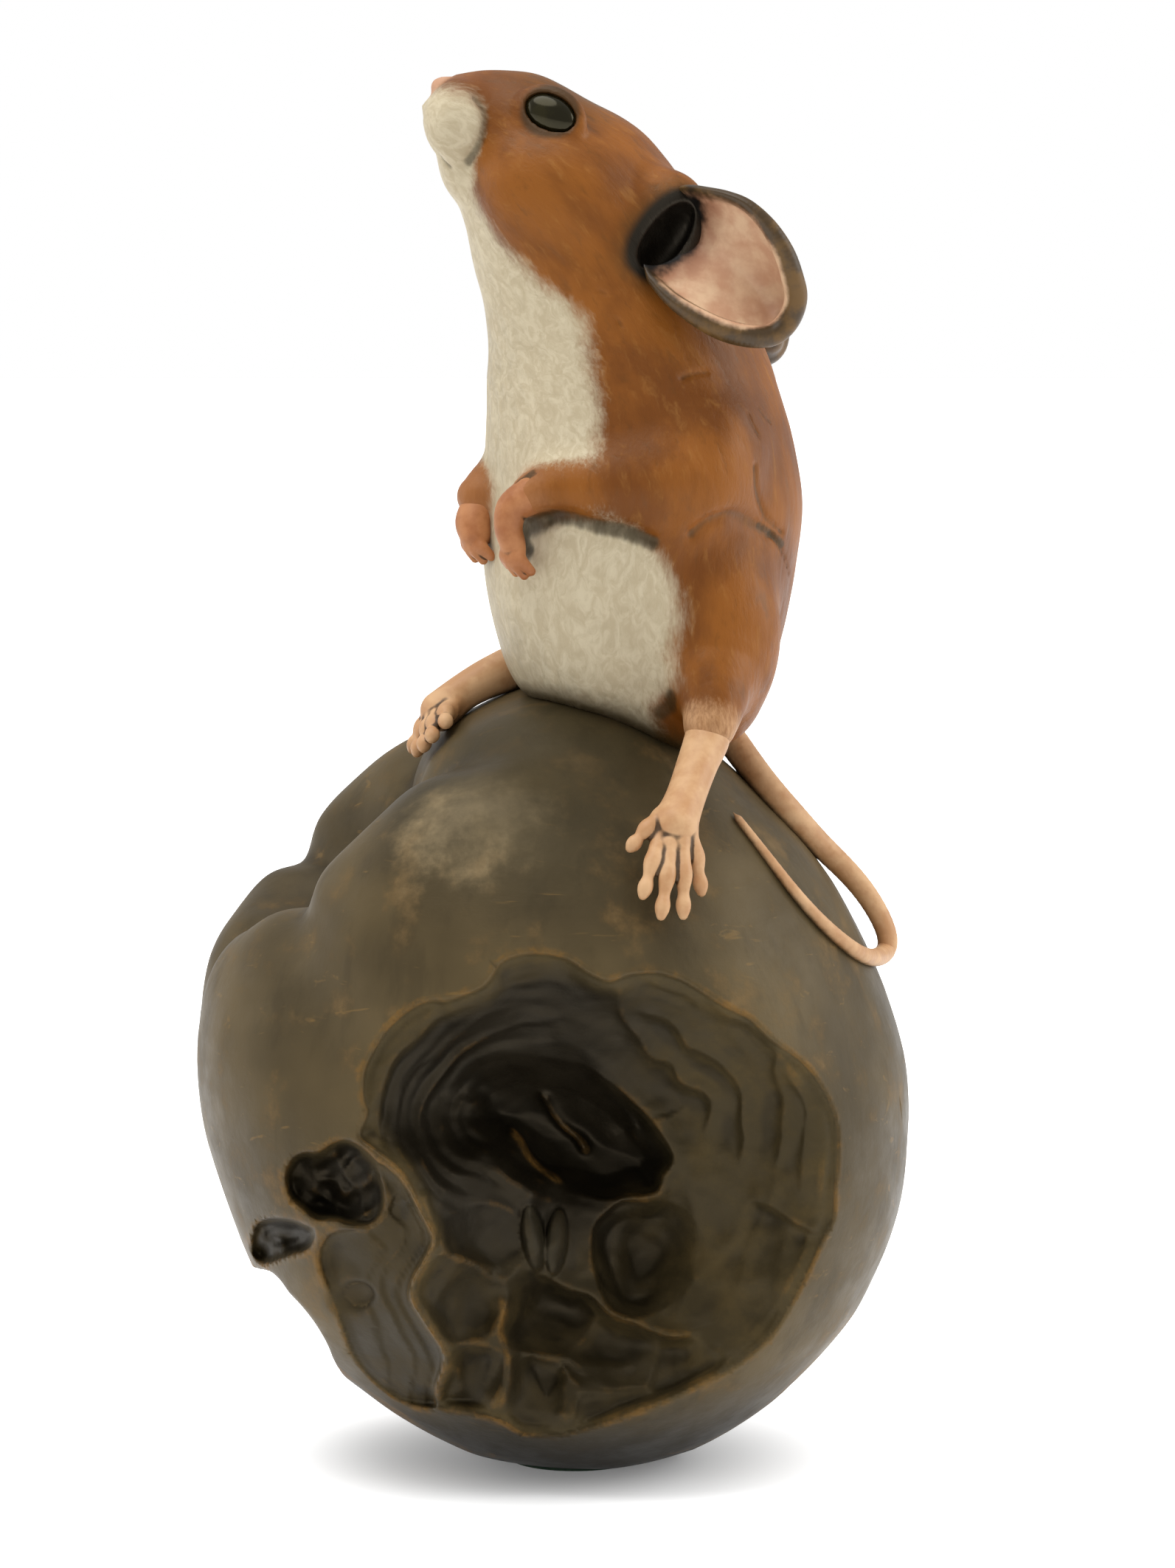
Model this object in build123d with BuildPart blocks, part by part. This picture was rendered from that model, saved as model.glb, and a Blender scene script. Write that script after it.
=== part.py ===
from build123d import *
from math import cos, radians, sin, sqrt, tau
import os

# A mouse sitting up on a gnawed apple: an ornament cast in sections, in millimetres.
# +Z is up, the viewer stands on the -Y side, and the origin lies under the middle of the whole piece.

os.makedirs("parts", exist_ok=True)

# Fits shared by all the pieces
joint_gap = 0.1
overrun = 2.0

# Apple: a turned form on a leaning axis, met by a turned calyx crown on an axis that leans further
apple_radius = 40.0
apple_wall = 5.0
apple_centre_x = 1.1
apple_centre_y = -1.8
apple_centre_height_share = 1.0025
apple_lean = 21
calyx_lean = 40
calyx_swing = 6.7
lobe_count = 5

# Radius and height along the body's axis of each profile point, in apple radii, from the stem end up
body_profile_shares = [
    (0.000, -1.055),
    (0.232, -1.000),
    (0.362, -0.950),
    (0.542, -0.850),
    (0.660, -0.750),
    (0.812, -0.550),
    (0.965, -0.250),
    (1.000, 0.000),
    (0.988, 0.250),
    (0.945, 0.450),
    (0.872, 0.650),
    (0.768, 0.850),
    (0.635, 1.035),
    (0.420, 1.180),
    (0.000, 1.235),
]
# The same for the crown, on the calyx axis: basin floor, crest, then clear of the body
crown_profile_shares = [
    (0.000, 0.870),
    (0.180, 0.900),
    (0.320, 1.000),
    (0.440, 1.060),
    (0.600, 1.085),
    (0.850, 1.060),
    (1.400, 0.920),
]
crown_depth_share = 3.0
void_ceiling_share = 0.72

# Notches between the lobes, round the calyx
notch_ring_share = 0.60
notch_height_share = 1.12
notch_radii_shares = (0.32, 0.15, 0.11)

# Gnawed hollow in the apple's front, a deeper pocket in its floor, and the bowl cast behind its mouth:
# centres from the apple's centre and radii across and into the apple, in apple radii
hollow_centre_shares = (0.1475, -1.130, -0.165)
hollow_radii_shares = (0.8575, 0.650)
pocket_centre_shares = (-0.010, -0.555, 0.070)
pocket_radii_shares = (0.270, 0.225)
lining_wall = 3.0

# Two side bites, low on the left: sideways, depth and height from the apple's centre, in apple radii,
# and their radii along the skin and into it
bite_shares = [(-0.660, -0.760, -0.090), (-0.830, -0.480, -0.290)]
bite_radii_shares = (0.150, 0.125, 0.130)

# Core and pips, bared on the hollow's floor: sizes, and places from the apple's centre, in apple radii
core_length_share = 0.40
core_radius_share = 0.115
core_x_share = -0.080
core_height_share = 0.040
pip_length_share = 0.190
pip_radius_share = 0.050
pip_height_share = -0.285
pip_spacing_share = 0.110
pip_middle_x_share = -0.055

# Underside: a flat with a core hole, and a felt disc let into it
base_x_share = 0.0325
felt_stand_off = 0.3
felt_radius = 7.6
felt_recess = 1.0
core_hole_radius = 5.5

# Mouse trunk and head: a loft of ellipses along a curved spine, standing over its seat on the apple.
# Its height and its seat's place sideways and above the apple's centre are in apple radii
mouse_height_share = 1.915
seat_x_share = 0.230
seat_height_share = 1.0975
mouse_wall = 3.5

# Sideways, depth and height of each section, then its half depth and half width, in mouse heights,
# and its pitch and yaw in degrees
spine_shares = [
    (0.007, 0.000, 0.017, 0.126, 0.113, 90, 35),
    (0.000, 0.000, 0.078, 0.191, 0.172, 90, 35),
    (-0.006, 0.000, 0.156, 0.221, 0.199, 90, 35),
    (-0.006, 0.000, 0.255, 0.240, 0.216, 90, 35),
    (0.002, 0.000, 0.355, 0.245, 0.221, 90, 35),
    (-0.006, 0.000, 0.456, 0.236, 0.213, 88, 34),
    (-0.024, -0.010, 0.545, 0.218, 0.198, 83, 32),
    (-0.051, -0.026, 0.633, 0.192, 0.180, 72, 27),
    (-0.085, -0.039, 0.728, 0.178, 0.163, 60, 20),
    (-0.127, -0.050, 0.805, 0.166, 0.147, 50, 14),
    (-0.177, -0.060, 0.864, 0.133, 0.118, 42, 10),
    (-0.221, -0.068, 0.909, 0.106, 0.090, 36, 8),
    (-0.266, -0.076, 0.938, 0.069, 0.060, 32, 8),
    (-0.297, -0.081, 0.950, 0.044, 0.041, 30, 8),
]
rump_end_shares = (0.009, 0.000, -0.010)
nose_end_shares = (-0.327, -0.086, 0.942)
hollow_spine_sections = slice(2, 10)

# Thighs, shanks and forearms: sideways, depth, height and radius of each knot, in mouse heights from the seat
near_thigh_shares = (0.085, -0.125, 0.150)
far_thigh_shares = (-0.050, 0.150, 0.150)
thigh_radii_shares = (0.105, 0.090, 0.165)
near_shank_shares = [
    (0.098, -0.170, 0.117, 0.070),
    (0.100, -0.215, 0.072, 0.048),
    (0.095, -0.238, 0.042, 0.040),
]
far_shank_shares = [
    (-0.144, 0.118, 0.124, 0.058),
    (-0.189, 0.091, 0.104, 0.042),
    (-0.209, 0.078, 0.095, 0.036),
]
near_forearm_shares = [
    (0.050, -0.190, 0.365, 0.060),
    (-0.020, -0.222, 0.352, 0.045),
    (-0.100, -0.212, 0.368, 0.036),
    (-0.168, -0.196, 0.366, 0.031),
]
far_forearm_shares = [
    (-0.110, 0.035, 0.385, 0.055),
    (-0.200, -0.022, 0.370, 0.040),
    (-0.242, -0.060, 0.352, 0.033),
]

# Paws and feet: knots as above, and each digit's tip
near_paw_shares = [
    (-0.172, -0.197, 0.363, 0.027),
    (-0.189, -0.196, 0.325, 0.026),
    (-0.180, -0.198, 0.298, 0.022),
]
far_paw_shares = [
    (-0.245, -0.063, 0.348, 0.028),
    (-0.250, -0.078, 0.318, 0.026),
    (-0.243, -0.088, 0.296, 0.021),
]
finger_length = 3.6
finger_radius = 0.75
finger_tip_share = 0.6
finger_count = 4
finger_spacing = 1.0
paw_turn = 45

near_foot_shares = [
    (0.093, -0.242, 0.034, 0.038),
    (0.076, -0.274, -0.008, 0.035),
    (0.040, -0.369, -0.099, 0.035),
]
near_toe_tip_shares = [
    (-0.022, -0.397, -0.120),
    (-0.004, -0.435, -0.184),
    (0.022, -0.439, -0.213),
    (0.054, -0.422, -0.214),
    (0.081, -0.385, -0.185),
]
far_foot_shares = [
    (-0.215, 0.072, 0.091, 0.034),
    (-0.274, 0.046, 0.065, 0.031),
    (-0.307, 0.026, 0.038, 0.031),
]
far_toe_tip_shares = [
    (-0.349, 0.033, -0.016),
    (-0.341, -0.007, -0.018),
    (-0.330, -0.039, -0.008),
    (-0.317, -0.059, 0.008),
    (-0.296, -0.059, 0.030),
]
toe_root_radius = 1.25
toe_tip_radius = 0.8

# Ears: half shells on the back of the head, their lengths in mouse heights
ear_length_share = 0.268
ear_width_share = 0.189
ear_depth_share = 0.055
ear_wall = 1.1
near_ear_shares = (0.105, -0.205, 0.700)
far_ear_shares = (0.135, 0.115, 0.672)
near_ear_facing = (-0.40, -0.90, 0.20)
far_ear_facing = (-0.62, 0.72, 0.30)
ear_long_axis = (0.70, -0.10, -0.70)

# Eye beads, in mouse heights
eye_length_share = 0.082
eye_height_share = 0.056
eye_bulge_share = 0.042
near_eye_shares = (-0.137, -0.152, 0.927)
far_eye_shares = (-0.163, 0.018, 0.927)
near_eye_facing = (-0.10, -0.96, 0.26)
far_eye_facing = (0.05, 0.94, 0.33)
head_axis = (-0.84, -0.10, 0.53)

# Tail: one tapered run over the apple's shoulder, a tight turn and a run back
tail_root_radius = 1.9
tail_tip_radius = 0.5
# Angle up from +X and turn towards the viewer, in degrees, of each tail knot seen from the apple's centre
tail_bearings = [
    (65, 8),
    (59, 9),
    (53, 9),
    (46, 8),
    (39, 5),
    (33.5, 3),
    (28, 2),
    (24.5, 3),
    (23.5, 8),
    (26, 16),
    (31, 22),
    (38.5, 26),
    (46, 28),
    (53, 27),
    (58.5, 26),
    (62, 24),
]

# Fixing through the apple's top: stud, washer and nut on one upright axis
stud_radius = 2.5
stud_clearance = 0.15
stud_length = 25.0
stud_engagement = 10.0
boss_radius = 6.0
seat_boss_depth = 8.5
washer_radius = 5.0
washer_thickness = 1.2
nut_across_flats = 8.0
nut_thickness = 4.0

# Dowel that holds the tail's loop
dowel_radius = 0.6
dowel_length = 5.0
dowel_knot = 10

apple_centre = Vector(apple_centre_x, apple_centre_y, apple_centre_height_share * apple_radius)
body_up = Vector(-sin(radians(apple_lean)), 0, cos(radians(apple_lean)))
body_across = Vector(cos(radians(apple_lean)), 0, sin(radians(apple_lean)))
calyx_across = Vector(cos(radians(calyx_lean)), 0, sin(radians(calyx_lean)))
calyx_level = Vector(-sin(radians(calyx_lean)), 0, cos(radians(calyx_lean)))
calyx_up = calyx_level * cos(radians(calyx_swing)) - Vector(0, sin(radians(calyx_swing)), 0)
calyx_beside = calyx_up.cross(calyx_across)
mouse_height = mouse_height_share * apple_radius
mouse_seat = apple_centre + Vector(seat_x_share, 0, seat_height_share) * apple_radius


def at_seat(shares):
    """A point given in mouse heights from the seat."""
    return mouse_seat + Vector(*shares[:3]) * mouse_height


def ellipsoid(plane, radii):
    """An ellipsoid centred on a plane, its radii along the plane's own axes."""
    return plane * scale(Sphere(1), by=tuple(radii))


def turned(profile, foot, across, up):
    """A profile turned about an axis through the apple's centre, as two halves that keep their own faces."""
    plane = Plane(origin=apple_centre, x_dir=across, z_dir=across.cross(up))
    halves = []
    for arc in (180, -180):
        with BuildPart() as half:
            with BuildSketch(plane):
                with BuildLine():
                    Spline(*profile)
                    Polyline(profile[-1], *foot, profile[0])
                make_face()
            revolve(axis=Axis(apple_centre, up), revolution_arc=arc)
        halves.append(half.part)
    with BuildPart() as body:
        add(halves, clean=False)
    return body.part


def apple_body(grow):
    """The apple's whole outer form, larger all round by a gap."""
    reach = apple_radius + grow
    body_profile = [(share * reach, height * reach) for share, height in body_profile_shares]
    crown_profile = [(share * reach, height * reach) for share, height in crown_profile_shares]
    depth = -crown_depth_share * apple_radius
    turned_form = turned(body_profile, [], body_across, body_up)
    crown = turned(crown_profile, [(crown_profile[-1][0], depth), (0, depth)], calyx_across, calyx_up)
    with BuildPart() as body:
        add(turned_form, clean=False)
        add(crown, mode=Mode.INTERSECT, clean=False)
    return body.part


def apple_void(shrink):
    """The casting's inner space, a smaller copy of the body with a flat ceiling below the calyx."""
    reach = apple_radius - apple_wall - shrink
    profile = [(share * reach, height * reach) for share, height in body_profile_shares]
    ceiling_height = void_ceiling_share * apple_radius - shrink
    ceiling = Plane(origin=apple_centre + calyx_up * ceiling_height, z_dir=calyx_up)
    turned_form = turned(profile, [], body_across, body_up)
    with BuildPart() as void:
        add(turned_form, clean=False)
        with BuildSketch(ceiling):
            Circle(apple_radius)
        extrude(amount=apple_radius, mode=Mode.SUBTRACT, clean=False)
    return void.part


def limb(knots):
    """A chain of round knots joined by cones, each knot a point with its radius."""
    with BuildPart() as chain:
        for middle, radius in knots:
            with Locations(middle):
                Sphere(radius)
        for (start, start_radius), (end, end_radius) in zip(knots, knots[1:]):
            along = end - start
            with BuildSketch(Plane(origin=start, z_dir=along)):
                Circle(start_radius)
            with BuildSketch(Plane(origin=end, z_dir=along)):
                Circle(end_radius)
            loft()
    return chain.part


def seat_knots(table):
    """Knots of a limb, from shares of the mouse's height."""
    return [(at_seat(row), row[3] * mouse_height) for row in table]


def spine_plane(row):
    """The plane of one section: x to the mouse's left, y to its back."""
    pitch, yaw = radians(row[5]), radians(row[6])
    normal = Vector(-cos(pitch) * cos(yaw), -cos(pitch) * sin(yaw), sin(pitch))
    return Plane(origin=at_seat(row), x_dir=Vector(sin(yaw), -cos(yaw), 0), z_dir=normal)


def trunk(rows, inset, ends):
    """A loft through the spine's sections, inset all round."""
    sections = []
    for row in rows:
        half_depth, half_width = row[3] * mouse_height - inset, row[4] * mouse_height - inset
        with BuildSketch(spine_plane(row)) as section:
            Ellipse(half_width, half_depth)
        sections.append(section.sketch)
    if ends:
        sections = [Vertex(*at_seat(rump_end_shares)), *sections, Vertex(*at_seat(nose_end_shares))]
    with BuildPart() as body:
        loft(sections)
    return body.part


apple_outer = apple_body(0)
apple_cleared = apple_body(joint_gap)
void_space = apple_void(0)
void_cleared = apple_void(joint_gap)

hollow_centre = apple_centre + Vector(*hollow_centre_shares) * apple_radius
pocket_centre = apple_centre + Vector(*pocket_centre_shares) * apple_radius
hollow_radius, hollow_depth = (share * apple_radius for share in hollow_radii_shares)
pocket_radius, pocket_depth = (share * apple_radius for share in pocket_radii_shares)


def bowl(middle, radius, depth):
    """A hollow's space: an ellipsoid opening towards the viewer."""
    return ellipsoid(Plane(origin=middle, x_dir=(1, 0, 0), z_dir=(0, -1, 0)), (radius, radius, depth))


hollow_space = bowl(hollow_centre, hollow_radius, hollow_depth)
hollow_cleared = bowl(hollow_centre, hollow_radius - joint_gap, hollow_depth - joint_gap)
lining_outside = bowl(hollow_centre, hollow_radius + lining_wall, hollow_depth + lining_wall)
pocket_space = bowl(pocket_centre, pocket_radius, pocket_depth)
pocket_cleared = bowl(pocket_centre, pocket_radius - joint_gap, pocket_depth - joint_gap)
pocket_outside = bowl(pocket_centre, pocket_radius + lining_wall, pocket_depth + lining_wall)


def apple_surface(bearing, toward_viewer):
    """The point where a ray from the apple's centre leaves its outer form, and the ray."""
    rise, swing = radians(bearing), radians(toward_viewer)
    ray = Vector(cos(rise) * cos(swing), -sin(swing), sin(rise) * cos(swing))
    hits = apple_outer.find_intersection_points(Axis(apple_centre, ray))
    distances = [(point - apple_centre).dot(ray) for point, _ in hits]
    return apple_centre + ray * max(distances), ray


# Tail path: each knot lies on the apple, one tail radius proud of it
tail_knots = []
for index, (bearing, toward_viewer) in enumerate(tail_bearings):
    share = index / (len(tail_bearings) - 1)
    radius = tail_root_radius + (tail_tip_radius - tail_root_radius) * share
    skin, ray = apple_surface(bearing, toward_viewer)
    tail_knots.append((skin + ray * radius, radius))

dowel_middle, dowel_tail_radius = tail_knots[dowel_knot]
dowel_ray = (dowel_middle - apple_centre).normalized()
dowel_plane = Plane(origin=dowel_middle - dowel_ray * (dowel_length - dowel_tail_radius / 2), z_dir=dowel_ray)

with BuildPart() as dowel_hole:
    with BuildSketch(dowel_plane):
        Circle(dowel_radius + joint_gap / 2)
    extrude(amount=dowel_length + joint_gap)

# Apple shell: outer form less the void, the mouth, the notches, the bites and the fixings' holes
fixing_plane = Plane(origin=mouse_seat - Vector(0, 0, seat_boss_depth - apple_wall))
bite_radii = [share * apple_radius for share in bite_radii_shares]
bite_tools = []
for row in bite_shares:
    outward = Vector(*row)
    bite_plane = Plane(origin=apple_centre + outward * apple_radius, z_dir=outward)
    bite_tools.append(ellipsoid(bite_plane, bite_radii))
notch_tools = []
for index in range(lobe_count):
    notch_turn = tau * (index + 1 / 2) / lobe_count
    outward = calyx_across * cos(notch_turn) + calyx_beside * sin(notch_turn)
    notch_middle = apple_centre + outward * notch_ring_share * apple_radius
    notch_middle += calyx_up * notch_height_share * apple_radius
    notch_plane = Plane(origin=notch_middle, x_dir=outward, z_dir=calyx_up)
    notch_tools.append(ellipsoid(notch_plane, [share * apple_radius for share in notch_radii_shares]))

apple_mid_wall = apple_body(-apple_wall / 2)

with BuildPart() as fixing_boss:
    with BuildSketch(fixing_plane):
        Circle(boss_radius + washer_thickness)
    extrude(amount=seat_boss_depth + apple_wall)
    add(apple_mid_wall, mode=Mode.INTERSECT)

foot_plane = Plane(origin=(apple_centre_x + base_x_share * apple_radius, apple_centre_y, felt_stand_off))

# The shell's two halves keep their own faces, so nothing here is merged
with BuildPart() as apple_shell:
    add(apple_outer, clean=False)
    add(void_space, mode=Mode.SUBTRACT, clean=False)
    add(fixing_boss.part, clean=False)
    add([hollow_space, *bite_tools, *notch_tools], mode=Mode.SUBTRACT, clean=False)
    with BuildSketch(foot_plane):
        Circle(apple_radius)
    extrude(amount=-overrun, mode=Mode.SUBTRACT, clean=False)
    with BuildSketch(foot_plane):
        Circle(felt_radius + joint_gap)
    extrude(amount=felt_recess, mode=Mode.SUBTRACT, clean=False)
    with BuildSketch(foot_plane):
        Circle(core_hole_radius)
    extrude(amount=apple_wall * 3, mode=Mode.SUBTRACT, clean=False)
    with BuildSketch(fixing_plane):
        Circle(stud_radius + stud_clearance)
    extrude(amount=seat_boss_depth * 2, mode=Mode.SUBTRACT, clean=False)
    with BuildSketch(fixing_plane):
        Circle(washer_radius + stud_clearance)
    extrude(amount=-washer_thickness - nut_thickness - overrun, mode=Mode.SUBTRACT, clean=False)
    add(dowel_hole.part, mode=Mode.SUBTRACT, clean=False)

# Bowl of the gnawed hollow, set behind the mouth
core_middle = pocket_centre + Vector(
    core_x_share * apple_radius, pocket_depth, core_height_share * apple_radius
)
core_radius = core_radius_share * apple_radius
core_form = ellipsoid(
    Plane(origin=core_middle, x_dir=calyx_level, z_dir=(0, 1, 0)),
    (core_length_share * apple_radius / 2, core_radius, core_radius),
)

with BuildPart() as hollow_lining:
    add(lining_outside & void_cleared)
    add(pocket_outside)
    add([hollow_space, pocket_space], mode=Mode.SUBTRACT)

with BuildPart() as seed_core:
    add(core_form & pocket_cleared)


# Pips: two smooth seeds side by side on the hollow's floor
pip_radii = [share * apple_radius for share in (pip_radius_share, pip_radius_share, pip_length_share / 2)]
pip_bodies = []
for side in (-1 / 2, 1 / 2):
    pip_x_share = pip_middle_x_share + side * pip_spacing_share
    across = (pip_x_share - hollow_centre_shares[0]) / hollow_radii_shares[0]
    rise = (pip_height_share - hollow_centre_shares[2]) / hollow_radii_shares[0]
    floor_share = hollow_centre_shares[1] + hollow_radii_shares[1] * sqrt(1 - across**2 - rise**2)
    pip_middle = apple_centre + Vector(pip_x_share, floor_share, pip_height_share) * apple_radius
    pip_bodies.append(ellipsoid(Plane(origin=pip_middle), pip_radii) & hollow_cleared)

with BuildPart() as pip_left:
    add(pip_bodies[0])

with BuildPart() as pip_right:
    add(pip_bodies[1])

# Eye beads, set in sockets
near_eye_plane = Plane(origin=at_seat(near_eye_shares), x_dir=head_axis, z_dir=near_eye_facing)
far_eye_plane = Plane(origin=at_seat(far_eye_shares), x_dir=head_axis, z_dir=far_eye_facing)
eye_radii = [share * mouse_height / 2 for share in (eye_length_share, eye_height_share, eye_bulge_share)]
socket_radii = [radius + joint_gap for radius in eye_radii]
near_eye_bead, far_eye_bead = (ellipsoid(plane, eye_radii) for plane in (near_eye_plane, far_eye_plane))
eye_sockets = [ellipsoid(plane, socket_radii) for plane in (near_eye_plane, far_eye_plane)]

with BuildPart() as eye_left:
    add(near_eye_bead)

with BuildPart() as eye_right:
    add(far_eye_bead)

# Mouse body: trunk and head, with the thighs, shanks and forearms in the same casting
thigh_radii = [share * mouse_height for share in thigh_radii_shares]
thighs = [ellipsoid(Plane(origin=at_seat(row)), thigh_radii) for row in (near_thigh_shares, far_thigh_shares)]
limb_tables = (near_shank_shares, far_shank_shares, near_forearm_shares, far_forearm_shares)
limbs = [limb(seat_knots(table)) for table in limb_tables]
trunk_outer = trunk(spine_shares, 0, True)
trunk_void = trunk(spine_shares[hollow_spine_sections], mouse_wall, False)
near_paw_knots = seat_knots(near_paw_shares)
far_paw_knots = seat_knots(far_paw_shares)
near_foot_knots = seat_knots(near_foot_shares)
far_foot_knots = seat_knots(far_foot_shares)


def grown(knots, gap):
    """The same knots, each radius larger by a gap."""
    return [(middle, radius + gap) for middle, radius in knots]


extremity_knots = (near_paw_knots, far_paw_knots, near_foot_knots, far_foot_knots)
extremity_pockets = [limb(grown(knots, joint_gap)) for knots in extremity_knots]
stud_plane = Plane(origin=mouse_seat + Vector(0, 0, boss_radius + stud_engagement - stud_length))

with BuildPart() as mouse_body:
    add([trunk_outer, *thighs, *limbs])
    add(trunk_void, mode=Mode.SUBTRACT)
    with BuildSketch(Plane(origin=mouse_seat)):
        Circle(boss_radius)
    extrude(amount=boss_radius + stud_engagement + mouse_wall)
    add(apple_cleared, mode=Mode.SUBTRACT)
    with BuildSketch(stud_plane):
        Circle(stud_radius + joint_gap / 2)
    extrude(amount=stud_length + joint_gap, mode=Mode.SUBTRACT)
    add([*eye_sockets, *extremity_pockets], mode=Mode.SUBTRACT)


# Ears: thin half shells, their rims in one plane, trimmed to the head
def ear_cup(middle, facing):
    """A cupped half shell, open towards its facing."""
    plane = Plane(origin=middle, x_dir=ear_long_axis, z_dir=facing)
    shares = (ear_length_share / 2, ear_width_share / 2, ear_depth_share)
    outer_radii = [share * mouse_height for share in shares]
    outside = ellipsoid(plane, outer_radii)
    inside = ellipsoid(plane, [radius - ear_wall for radius in outer_radii])
    with BuildPart() as cup:
        add(outside)
        add(inside, mode=Mode.SUBTRACT)
        split(bisect_by=plane, keep=Keep.BOTTOM)
    return cup.part


trunk_cleared = trunk(spine_shares, -joint_gap, True)
near_ear_cup = ear_cup(at_seat(near_ear_shares), near_ear_facing)
far_ear_cup = ear_cup(at_seat(far_ear_shares), far_ear_facing)

with BuildPart() as ear_left:
    add(near_ear_cup)
    add(trunk_cleared, mode=Mode.SUBTRACT)

with BuildPart() as ear_right:
    add(far_ear_cup)
    add(trunk_cleared, mode=Mode.SUBTRACT)


# Paws: a palm with slim fingers curled against the belly
def paw(knots):
    """A palm, and its fingers side by side."""
    tip_middle, tip_radius = knots[-1]
    wrist_middle = knots[0][0]
    along = (tip_middle - wrist_middle).normalized()
    beside = Vector(cos(radians(paw_turn)), -sin(radians(paw_turn)), 0)
    members = [limb(knots)]
    for index in range(finger_count):
        start = tip_middle + beside * (index - (finger_count - 1) / 2) * finger_spacing
        end = start + along * finger_length
        members.append(limb([(start, finger_radius), (end, finger_radius * finger_tip_share)]))
    return members


near_paw_members, far_paw_members = paw(near_paw_knots), paw(far_paw_knots)

with BuildPart() as forepaw_left:
    add(near_paw_members)
    add(trunk_cleared, mode=Mode.SUBTRACT)

with BuildPart() as forepaw_right:
    add(far_paw_members)
    add(trunk_cleared, mode=Mode.SUBTRACT)


# Hind feet: a long sole with five spread toes, lying on the apple
def foot(knots, tips):
    """A sole, and a tapered toe to each tip."""
    root = knots[-1][0]
    toes = [limb([(root, toe_root_radius), (at_seat(tip), toe_tip_radius)]) for tip in tips]
    return [limb(knots), *toes]


near_foot_members = foot(near_foot_knots, near_toe_tip_shares)
far_foot_members = foot(far_foot_knots, far_toe_tip_shares)
tail_form = limb(tail_knots)

with BuildPart() as hind_foot_left:
    add(near_foot_members)
    add(apple_cleared, mode=Mode.SUBTRACT)

with BuildPart() as hind_foot_right:
    add(far_foot_members)
    add(apple_cleared, mode=Mode.SUBTRACT)

with BuildPart() as tail:
    add(tail_form)
    add(apple_cleared, mode=Mode.SUBTRACT)
    add(mouse_body.part, mode=Mode.SUBTRACT)
    add(dowel_hole.part, mode=Mode.SUBTRACT)

with BuildPart() as tail_pin:
    with BuildSketch(dowel_plane):
        Circle(dowel_radius)
    extrude(amount=dowel_length)

# Fixings and felt
with BuildPart() as fixing_stud:
    with BuildSketch(stud_plane):
        Circle(stud_radius)
    extrude(amount=stud_length)

washer_plane = fixing_plane.offset(-joint_gap - washer_thickness)
nut_plane = washer_plane.offset(-joint_gap - nut_thickness)

with BuildPart() as fixing_washer:
    with BuildSketch(washer_plane):
        Circle(washer_radius)
        Circle(stud_radius + joint_gap / 2, mode=Mode.SUBTRACT)
    extrude(amount=washer_thickness)

with BuildPart() as fixing_nut:
    with BuildSketch(nut_plane):
        RegularPolygon(nut_across_flats / 2, 6, major_radius=False)
        Circle(stud_radius + joint_gap / 2, mode=Mode.SUBTRACT)
    extrude(amount=nut_thickness)

with BuildPart() as base_pad:
    with BuildSketch(foot_plane.offset(-felt_stand_off)):
        Circle(felt_radius)
    extrude(amount=felt_stand_off + felt_recess - joint_gap)

pieces = {
    "apple_shell": apple_shell,
    "hollow_lining": hollow_lining,
    "seed_core": seed_core,
    "pip_left": pip_left,
    "pip_right": pip_right,
    "mouse_body": mouse_body,
    "ear_left": ear_left,
    "ear_right": ear_right,
    "forepaw_left": forepaw_left,
    "forepaw_right": forepaw_right,
    "hind_foot_left": hind_foot_left,
    "hind_foot_right": hind_foot_right,
    "tail": tail,
    "tail_pin": tail_pin,
    "eye_left": eye_left,
    "eye_right": eye_right,
    "fixing_stud": fixing_stud,
    "fixing_washer": fixing_washer,
    "fixing_nut": fixing_nut,
    "base_pad": base_pad,
}
for name, piece in pieces.items():
    piece.part.label = name
    export_step(piece.part, f"parts/{name}.step")
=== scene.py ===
import math
import bpy
import numpy as np
import openvdb
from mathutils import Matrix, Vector


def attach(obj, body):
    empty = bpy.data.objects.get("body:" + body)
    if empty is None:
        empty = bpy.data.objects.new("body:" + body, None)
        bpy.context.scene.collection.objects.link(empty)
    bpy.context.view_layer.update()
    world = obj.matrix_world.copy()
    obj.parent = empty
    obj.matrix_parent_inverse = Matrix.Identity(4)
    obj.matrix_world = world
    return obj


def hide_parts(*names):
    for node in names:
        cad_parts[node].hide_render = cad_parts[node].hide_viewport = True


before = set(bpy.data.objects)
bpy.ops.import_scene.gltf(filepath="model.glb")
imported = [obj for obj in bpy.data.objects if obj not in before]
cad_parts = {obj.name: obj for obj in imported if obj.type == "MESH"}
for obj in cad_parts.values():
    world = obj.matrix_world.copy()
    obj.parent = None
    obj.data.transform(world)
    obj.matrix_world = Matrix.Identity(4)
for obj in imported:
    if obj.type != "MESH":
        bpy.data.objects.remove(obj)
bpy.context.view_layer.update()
metres = 0.001  # the shapes are worked out in millimetres and made in metres
print("frame loaded:", len(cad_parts), "nodes")


def placed(name, data):
    # an object of the scene that shows the data
    thing = bpy.data.objects.new(name, data)
    bpy.context.scene.collection.objects.link(thing)
    return thing


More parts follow.
